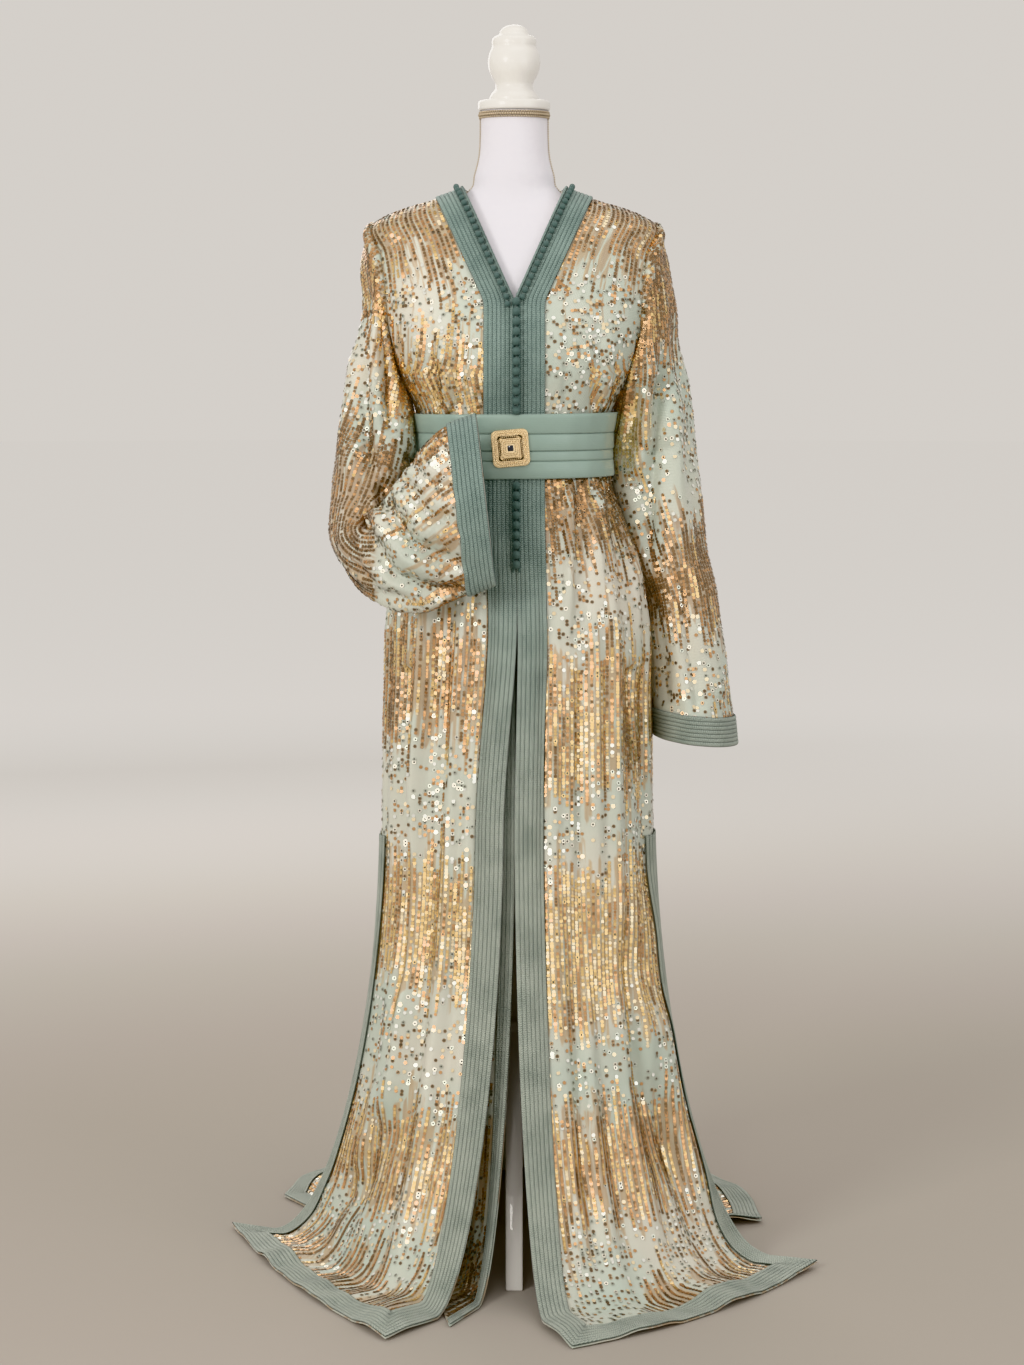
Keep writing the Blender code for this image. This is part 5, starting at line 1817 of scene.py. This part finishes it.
@dataclass
class Sleeve:
    """A long wide sleeve from the armhole to the wrist, its braid round the end."""

    side: int
    rings: Array
    creases: tuple[Crease, ...]
    bands: tuple[Band, ...]
    finishes: Finishes
    braid: Braid
    flat: tuple[float, float]
    area: float
    scatter: float
    cuff: float = 0.04
    steps: int = 124

    def points(self) -> Array:
        """Rings of points, evenly spaced down the sleeve."""
        turn = turns(SLEEVE_TURNS)
        z, depth = armhole(np.where(turn <= math.pi, turn, 2 * math.pi - turn) / math.pi)
        angle = BODY.angle_at_y(np.where(turn <= math.pi, -depth, depth), z)
        root = SLEEVE_ROOT * (0.8 + 0.2 * np.cos(turn))
        first = [
            BODY.point(angle, z, out) * np.array([self.side, 1.0, 1.0])
            for out in (0.0008, SLEEVE_STAND_OFF + 0.6 * root)
        ]
        outer, inner = self.rings[:, :3], self.rings[:, 3:6]
        centre, major = (outer + inner) / 2, (outer - inner) / 2
        along = unit(major)
        minor = along * along[:, 1:2] - np.array([0.0, 1.0, 0.0])
        minor *= self.rings[:, 6:7] / np.linalg.norm(minor, axis=1, keepdims=True)
        cosine, sine = np.cos(turn)[None, :, None], np.sin(turn)[None, :, None]
        rings = centre[:, None] + major[:, None] * cosine + minor[:, None] * sine
        rings = np.concatenate([first, rings])
        steps = np.linalg.norm(np.diff(rings, axis=0), axis=-1).mean(axis=1)
        knots = np.concatenate([[0.0], np.cumsum(steps)])
        return curve(knots, rings, np.linspace(0.0, knots[-1], self.steps))

    def make(self) -> None:
        """Build the sleeve, its sequins and its cuff."""
        end = "left" if self.side > 0 else "right"
        flat = Cloth(self.points(), self.side, closed=True)
        long = flat.down.mean(axis=1, keepdims=True)
        total = float(long[-1, 0])
        hold = smooth(long / 0.06) * (0.25 + 0.75 * smooth((total - long) / (2 * self.cuff)))
        turn = turns(SLEEVE_TURNS)[None, :]
        wave = 0.0016 * np.sin(5 * turn + 2.0 * np.sin(long * 5))
        wave = wave + 0.0011 * np.sin(9 * turn + 1.7 - long * 4)
        height = sum(crease.height(flat) for crease in self.creases) + wave
        cloth = flat.moved(height * hold)

        def level(_points: Array, row: Array, _column: Array) -> Array:
            """Length down the sleeve, as a level below its top."""
            return -np.interp(row, np.arange(len(long)), long[:, 0])

        def keep(points: Array, row: Array, column: Array) -> Array:
            """Above the cuff."""
            return (total + level(points, row, column) > self.cuff - 0.002) & (row > 0.3)

        pattern = Pattern(self.bands, 71 + self.side, scatter=self.scatter)
        made, sewn = sequinned(f"sleeve_{end}", cloth, pattern, level, keep, self.finishes)
        across, _ = self.braid.offsets()
        columns = np.repeat(np.arange(SLEEVE_TURNS)[:, None] * 1.0, len(across), axis=1)
        rows = np.empty(columns.shape)
        for i, line in enumerate(flat.down.T):
            rows[i] = np.interp(line[-1] * (1 - across / line[-1]), line, np.arange(len(line)))
        cuff = self.braid.lay(
            f"braid_cuff_{end}", cloth, rows, columns, -self.side, (f"cuff_{end}",), closed=True
        )
        hang(made, cloth)


@dataclass
class Belt:
    """The pleated satin belt, its gilt buckle and the stone."""

    finishes: Finishes
    centre: tuple[float, float] = (-0.005, 1.14)
    half: float = 0.025
    tilt: float = math.radians(5.0)
    folds: tuple[tuple[float, float], ...] = (
        (0.0, 0.0008), (0.01, 0.0018), (0.05, 0.0021), (0.27, 0.0021), (0.284, 0.0016),
        (0.29, 0.0002), (0.3, 0.0004), (0.33, 0.0014), (0.4, 0.0019), (0.54, 0.0022),
        (0.553, 0.0017), (0.559, 0.0001), (0.57, 0.0003), (0.6, 0.001), (0.7, 0.0016),
        (0.716, 0.0012), (0.722, 0.0), (0.733, 0.0004), (0.77, 0.0016), (0.86, 0.002),
        (0.985, 0.0018), (1.0, 0.0008),
    )

    def make(self) -> None:
        """Build the belt."""
        turn = turns(180)
        grid = []
        for t, step in self.folds:
            at = np.clip(t + 0.012 * np.sin(turn) * np.sin(math.pi * t), 0.0, 1.0)
            z = BELT_Z[1] - at * (BELT_Z[1] - BELT_Z[0]) + 0.0012 * np.sin(turn + 0.4)
            wave = 0.0004 * np.sin(11 * turn + 6 * t) + 0.0003 * np.sin(23 * turn + 2)
            grid.append([
                BODY.point(angle, height, BELT_CLEARANCE + 0.0016 + step + ripple)
                for angle, height, ripple in zip(turn, z, wave)
            ])
        cloth = Cloth(np.array(grid), 1.0, closed=True)
        made = add_object("belt_satin", grid_mesh("belt_satin", cloth), [self.finishes.satin])
        thicken(made, 0.0016, outward=False)
        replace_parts(made, "belt")
        LOG.info("belt: area %.4f", measure(cloth))
        self.buckle()

    def buckle(self) -> None:
        """Build the buckle: stepped plates, square rows of grains and the stone."""
        x, z = self.centre
        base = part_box("buckle")[0][1] - AXIS[1] + 0.0036
        cosine, sine = math.cos(self.tilt), math.sin(self.tilt)

        def placed(a: float, b: float, out: float) -> tuple[float, float, float]:
            """A point of the tilted face, stood off by out."""
            return (x + a * cosine - b * sine, base - out, z + a * sine + b * cosine)

        bm = bmesh.new()
        relief = bm.verts.layers.float.new("relief")
        for half, out, thick, round_by in (
            (self.half, 0.0, 0.0011, 0.0078), (0.0238, 0.0008, 0.001, 0.007),
            (0.0204, 0.0014, 0.001, 0.005), (0.017, 0.001, 0.0014, 0.0034),
            (0.0136, 0.0016, 0.0012, 0.0018), (0.0094, 0.0022, 0.001, 0.0014),
            (0.0062, 0.003, 0.0008, 0.001),
        ):
            slab = bmesh.ops.create_cube(bm, size=2.0)["verts"]
            bmesh.ops.scale(bm, verts=slab, vec=(half, thick, half))
            bmesh.ops.translate(bm, verts=slab, vec=(0.0, -out, 0.0))
            edges = {edge for vertex in slab for edge in vertex.link_edges}
            upright = [e for e in edges if abs(e.verts[0].co.y - e.verts[1].co.y) > 1e-4]
            rim = {e for face in eased(bm, upright, round_by, 5)["faces"] for e in face.edges}
            for vertex in {v for e in rim for face in e.link_faces for v in face.verts}:
                vertex[relief] = 0.55 + 12.0 * out * 10
        settle(bm, -self.tilt, "Y", Vector((x, base, z)))
        plate = add_object("buckle_plate", bm, [self.finishes.gilt])
        edge = plate.modifiers.new("Edges", "BEVEL")
        edge.width, edge.segments, edge.limit_method = 0.00035, 2, "ANGLE"
        facet(plate.data)
        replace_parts(plate, "buckle")
        centres, sizes = [], []
        for half, out, count, size in (
            (0.0238, 0.0012, 17, 0.00115), (0.0212, 0.0026, 15, 0.00125),
            (0.0184, 0.0028, 13, 0.00125), (0.0152, 0.0027, 11, 0.0012),
            (0.0122, 0.003, 9, 0.0012), (0.0092, 0.0034, 7, 0.0011), (0.0068, 0.0038, 6, 0.001),
        ):
            for k in range(count):
                a = (2 * k / count - 1) * half
                for px, pz in ((a, half), (half, -a), (-a, -half), (-half, a)):
                    inward = half / (abs(px) ** 6 + abs(pz) ** 6) ** (1 / 6)
                    centres.append(placed(px * inward, pz * inward, out))
                    sizes.append(size)
        made = add_beads(
            "buckle_grains", np.array(centres), np.array(sizes), ball(6, 4), self.finishes.gilt,
        )
        grain = made.data.attributes.new("relief", "FLOAT", "POINT")
        grain.data.foreach_set("value", [0.95] * len(made.data.vertices))
        bm = bmesh.new()
        bmesh.ops.create_cube(bm, size=2.0)
        bmesh.ops.scale(bm, verts=bm.verts[:], vec=(0.004, 0.0018, 0.004))
        eased(bm, bm.edges[:], 0.0012)
        settle(bm, -self.tilt, "Y", Vector(placed(0.0, 0.0, 0.003)))
        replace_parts(add_object("buckle_gem", bm, [self.finishes.stone]), "buckle_stone")


@dataclass
class Knots:
    """Wound silk knots down the centre and along the V, with their loops and piping."""

    finishes: Finishes
    kaftan: Kaftan
    radius: float = 0.0058
    pitch: float = 0.0132

    def make(self) -> None:
        """Build the knots, the loops between them and the piping of the V."""
        braid = self.finishes.braid
        for name, top, count in (("buttons_upper", 1.3355, 12), ("buttons_lower", 1.09, 9)):
            z = top - self.pitch * np.arange(count)
            y = -(BODY.sizes(z)[1] + 0.0107)
            centres = np.stack([np.full_like(z, 0.0026), y, z], axis=-1)
            stamp = ball(18, 11, 0.1)
            made = add_beads(f"knots_{name}", centres, self.radius, stamp, braid)
            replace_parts(made, name)
            loops = np.concatenate([centres + [dx, 0.003, -self.pitch / 2] for dx in (-0.0042, 0.0042)])
            stamp = ball(10, 6)
            bmesh.ops.scale(stamp, verts=stamp.verts[:], vec=(1.0, 0.8, 2.4))
            add_beads(f"loops_{name}", loops, 0.0018, stamp, braid)
        for name, short in (("left", 0.062), ("right", 0.052)):
            cloth = self.kaftan.panels[f"front_{name}"].cloth
            rows = np.arange(0, 34.0, 0.5)
            line, _ = cloth.at(rows, cloth.column_in(rows, 0.0088), 0.0084)
            knots, stamp = spaced(line, 0.004, short, 22), ball(14, 9, 0.1)
            made = add_beads(f"knots_v_{name}", knots, 0.0042, stamp, braid)
            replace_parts(made, f"knots_neck_{name}")
            edge, _ = cloth.at(rows, cloth.column_in(rows, 0.0016), 0.0046)
            turn, place = np.arange(10) * 2 * math.pi / 10, np.arange(260)[:, None]
            wound = 0.0021 * (1.0 + 0.16 * np.sin(3 * turn[None, :] + place * 0.95))
            grid = tube_grid(spaced(edge, 0.0, 0.0, 260), wound, 10)
            mesh = grid_mesh(f"piping_{name}", Cloth(grid, 1.0, True))
            close_ends(add_object(f"piping_{name}", mesh, [braid]))

# Turned profiles and the leg's outline: reach and height, in metres.
CAP = metres([
    (0, 1593.5), (47, 1593.5), (48.5, 1594.5), (49, 1596.2), (49, 1603), (48.4, 1605),
    (46.8, 1606.4), (44, 1607), (0, 1607),
])
FINIAL = metres([
    (0, 1607.5), (33.4, 1607.5), (33.4, 1611), (31, 1616), (25.8, 1621.5), (24.6, 1628),
    (29, 1636), (33.8, 1646), (35.8, 1658), (34, 1670), (29.6, 1678.5), (30.3, 1683), (30, 1689),
    (26.2, 1692.5), (20.5, 1694.5), (18.6, 1701), (13, 1705.5), (6, 1707.8), (0, 1708),
])
POST = metres([(0, 335.5), (12.5, 335.5), (12.5, 600), (12.5, 879.5), (0, 879.5)])
HUB = metres([(0, 230), (28, 230), (31, 231.5), (32, 234.5), (32, 330.5), (31, 333.5), (28, 335), (0, 335)])
LEG = metres([(32.5, 320), (32.5, 245), (125, 100), (162, 0), (200, 0), (150, 118), (70, 250)])


@dataclass
class DressForm:
    """The limbless form, its turned cap, finial and stand."""

    finishes: Finishes
    sides: int = 100

    def make(self) -> None:
        """Build the form and its wooden parts."""
        turn = turns(self.sides)
        levels = np.linspace(*FORM_Z, 100)
        cloth = Cloth(np.array([FORM.point(turn, z) for z in levels]), 1.0, True)
        mesh = grid_mesh("form_torso", cloth)
        torso = add_object("form_torso", mesh, [self.finishes.jersey])
        close_ends(torso)
        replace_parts(torso, "form")
        self.beads()
        self.turned()
        self.legs()

    def beads(self) -> None:
        """Beaded braid round the neck's top and thin chains down its sides."""
        centres, sizes = [], []
        rounds = ((1.5905, 0.0014, 0.0017), (1.5872, 0.002, 0.0021), (1.5838, 0.0014, 0.0017))
        for row, (z, out, size) in enumerate(rounds):
            for k in range(86):
                centres.append(FORM.point((k + 0.5 * (row % 2)) * 2 * math.pi / 86, z, out))
                sizes.append(size)
        for sign in (1.0, -1.0):
            level = np.linspace(1.581, 1.4475, 420)
            line = FORM.point(math.pi / 2, level, 0.0008) * np.array([sign, 1.0, 1.0])
            for point in spaced(line, 0.0, 0.0, 62):
                centres.append(point + np.array([0.0, -0.004, 0.0]))
                sizes.append(0.0013)
        made = add_beads(
            "form_beads", np.array(centres), np.array(sizes), ball(6, 4), self.finishes.beads,
        )
        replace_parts(made, "form_braid")

    def turned(self) -> None:
        """The cap, the finial, the post and the hub, turned in wood."""
        foot, *middle, tip = FINIAL
        for name, node, profile in (
            ("turned_cap", "form_cap", CAP),
            ("turned_finial", "form_finial", [foot, *rounded([*middle, tip], 2)]),
            ("turned_post", "stand_post", POST),
            ("turned_hub", "stand_hub", HUB),
        ):
            made = add_object(name, spun(profile, 72), [self.finishes.paint])
            crisp(made)
            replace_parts(made, node)

    def legs(self) -> None:
        """The three legs, with eased edges."""
        for name, degrees in (("front", -90.0), ("left", 30.0), ("right", 150.0)):
            bm = bmesh.new()
            face = bm.faces.new([bm.verts.new((reach, -0.012, z)) for reach, z in LEG])
            wide = bmesh.ops.extrude_face_region(bm, geom=[face])
            moved = [v for v in wide["geom"] if isinstance(v, bmesh.types.BMVert)]
            bmesh.ops.translate(bm, verts=moved, vec=(0.0, 0.024, 0.0))
            bmesh.ops.recalc_face_normals(bm, faces=bm.faces[:])
            eased(bm, bm.edges[:], 0.0024)
            settle(bm, math.radians(degrees), "Z", Vector())
            made = add_object(f"leg_{name}", bm, [self.finishes.paint])
            crisp(made)
            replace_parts(made, f"stand_leg_{name}")


@dataclass
class Studio:
    """Pale floor, soft lights and the camera."""

    backdrop: Colour = (0.7, 0.665, 0.625)
    aim_z: float = 0.95
    distance: float = 4.0
    camera_z: float = 1.3
    tilt: float = 0.12202
    lens: float = 76.23

    def make(self) -> None:
        """Build the studio."""
        bm, mesh = bmesh.new(), bpy.data.meshes.new("floor")
        bmesh.ops.create_circle(bm, cap_ends=True, segments=96, radius=30.0)
        bm.to_mesh(mesh)
        bm.free()
        mesh.materials.append(PaleFloor().make())
        floor = bpy.data.objects.new("floor", mesh)
        scene = bpy.context.scene
        scene.collection.objects.link(floor)
        scene.world = world = bpy.data.worlds.new("studio")
        world.use_nodes = True
        sky = world.node_tree.nodes["Background"]
        sky.inputs["Color"].default_value = (*self.backdrop, 1.0)
        sky.inputs["Strength"].default_value = 1.0
        for name, place, size, power, colour in (
            ("key", (-2.6, -3.2, 2.2), 1.3, 66.0, (1.0, 0.975, 0.94)),
            ("fill", (2.8, -2.6, 1.8), 2.0, 18.0, (0.97, 0.985, 1.0)),
            ("top", (0.3, -0.6, 3.6), 1.8, 14.0, (1.0, 0.99, 0.97)),
            ("back", (-0.8, 3.2, 2.6), 2.2, 34.0, (1.0, 0.98, 0.96)),
            ("glint", (-0.5, -3.6, 1.8), 0.35, 9.0, (1.0, 0.97, 0.92)),
        ):
            light = bpy.data.lights.new(name, "AREA")
            light.size, light.energy, light.color = size, power, colour
            lamp = bpy.data.objects.new(name, light)
            lamp.location = place
            aim = Vector((0.0, 0.0, self.aim_z)) - Vector(place)
            lamp.rotation_euler = aim.to_track_quat("-Z", "Y").to_euler()
            scene.collection.objects.link(lamp)
        scene.view_settings.view_transform = "Khronos PBR Neutral"
        camera = bpy.data.cameras.new("camera")
        camera.sensor_fit, camera.sensor_height, camera.lens = "VERTICAL", 36.0, self.lens
        scene.camera = seen = bpy.data.objects.new("camera", camera)
        seen.location = (AXIS[0] - 0.003, AXIS[1] - self.distance, self.camera_z)
        seen.rotation_euler = (math.pi / 2 - self.tilt, 0.0, 0.0)
        scene.collection.objects.link(seen)


# Sequin bands of the sleeves, by length down from the top. Their warmth is set high, towards copper and
# bronze, partly to darken the sleeves where they lie in shade: painted shade on top of the real copper
# bands.
LEFT_SLEEVE_BANDS = (
    Band(0.02, -0.125, 0.7), Band(-0.1, -0.225, 0.12, right=0.2), Band(-0.335, -0.475, 0.72),
    Band(-0.565, -0.61, 0.5, left=0.26),
)
RIGHT_SLEEVE_BANDS = (
    Band(0.02, -0.09, 0.5), Band(-0.08, -0.15, 0.3, left=-0.195), Band(-0.205, -0.385, 0.88),
    Band(-0.375, -0.56, 0.78, right=-0.172), Band(-0.42, -0.475, 0.55, left=-0.12),
    Band(-0.53, -0.58, 0.62),
)


def main() -> None:
    """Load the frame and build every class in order."""
    logging.basicConfig(level=logging.INFO, format="%(name)s: %(message)s")
    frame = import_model()
    LOG.info("loaded %d nodes", len(frame["nodes"]))
    finishes = Finishes()
    braid = Braid(finishes)
    kaftan = Kaftan(finishes, braid)
    sleeves = (
        (1, LEFT_SLEEVE_RINGS, LEFT_SLEEVE_CREASES, LEFT_SLEEVE_BANDS, (0.42, 0.66), 0.255, 0.29),
        (-1, RIGHT_SLEEVE_RINGS, RIGHT_SLEEVE_CREASES, RIGHT_SLEEVE_BANDS, (0.4, 0.7), 0.215, 0.36),
    )
    left, right = (
        Sleeve(side, rings, folds, bands, finishes, braid, flat, area, scatter)
        for side, rings, folds, bands, flat, area, scatter in sleeves
    )
    for build in (
        Studio().make, kaftan.fronts, kaftan.back, kaftan.underlap, left.make, right.make,
        Belt(finishes).make, Knots(finishes, kaftan).make, DressForm(finishes).make,
    ):
        build()
        LOG.info("%s done", build.__qualname__)


if __name__ == "__main__":
    main()
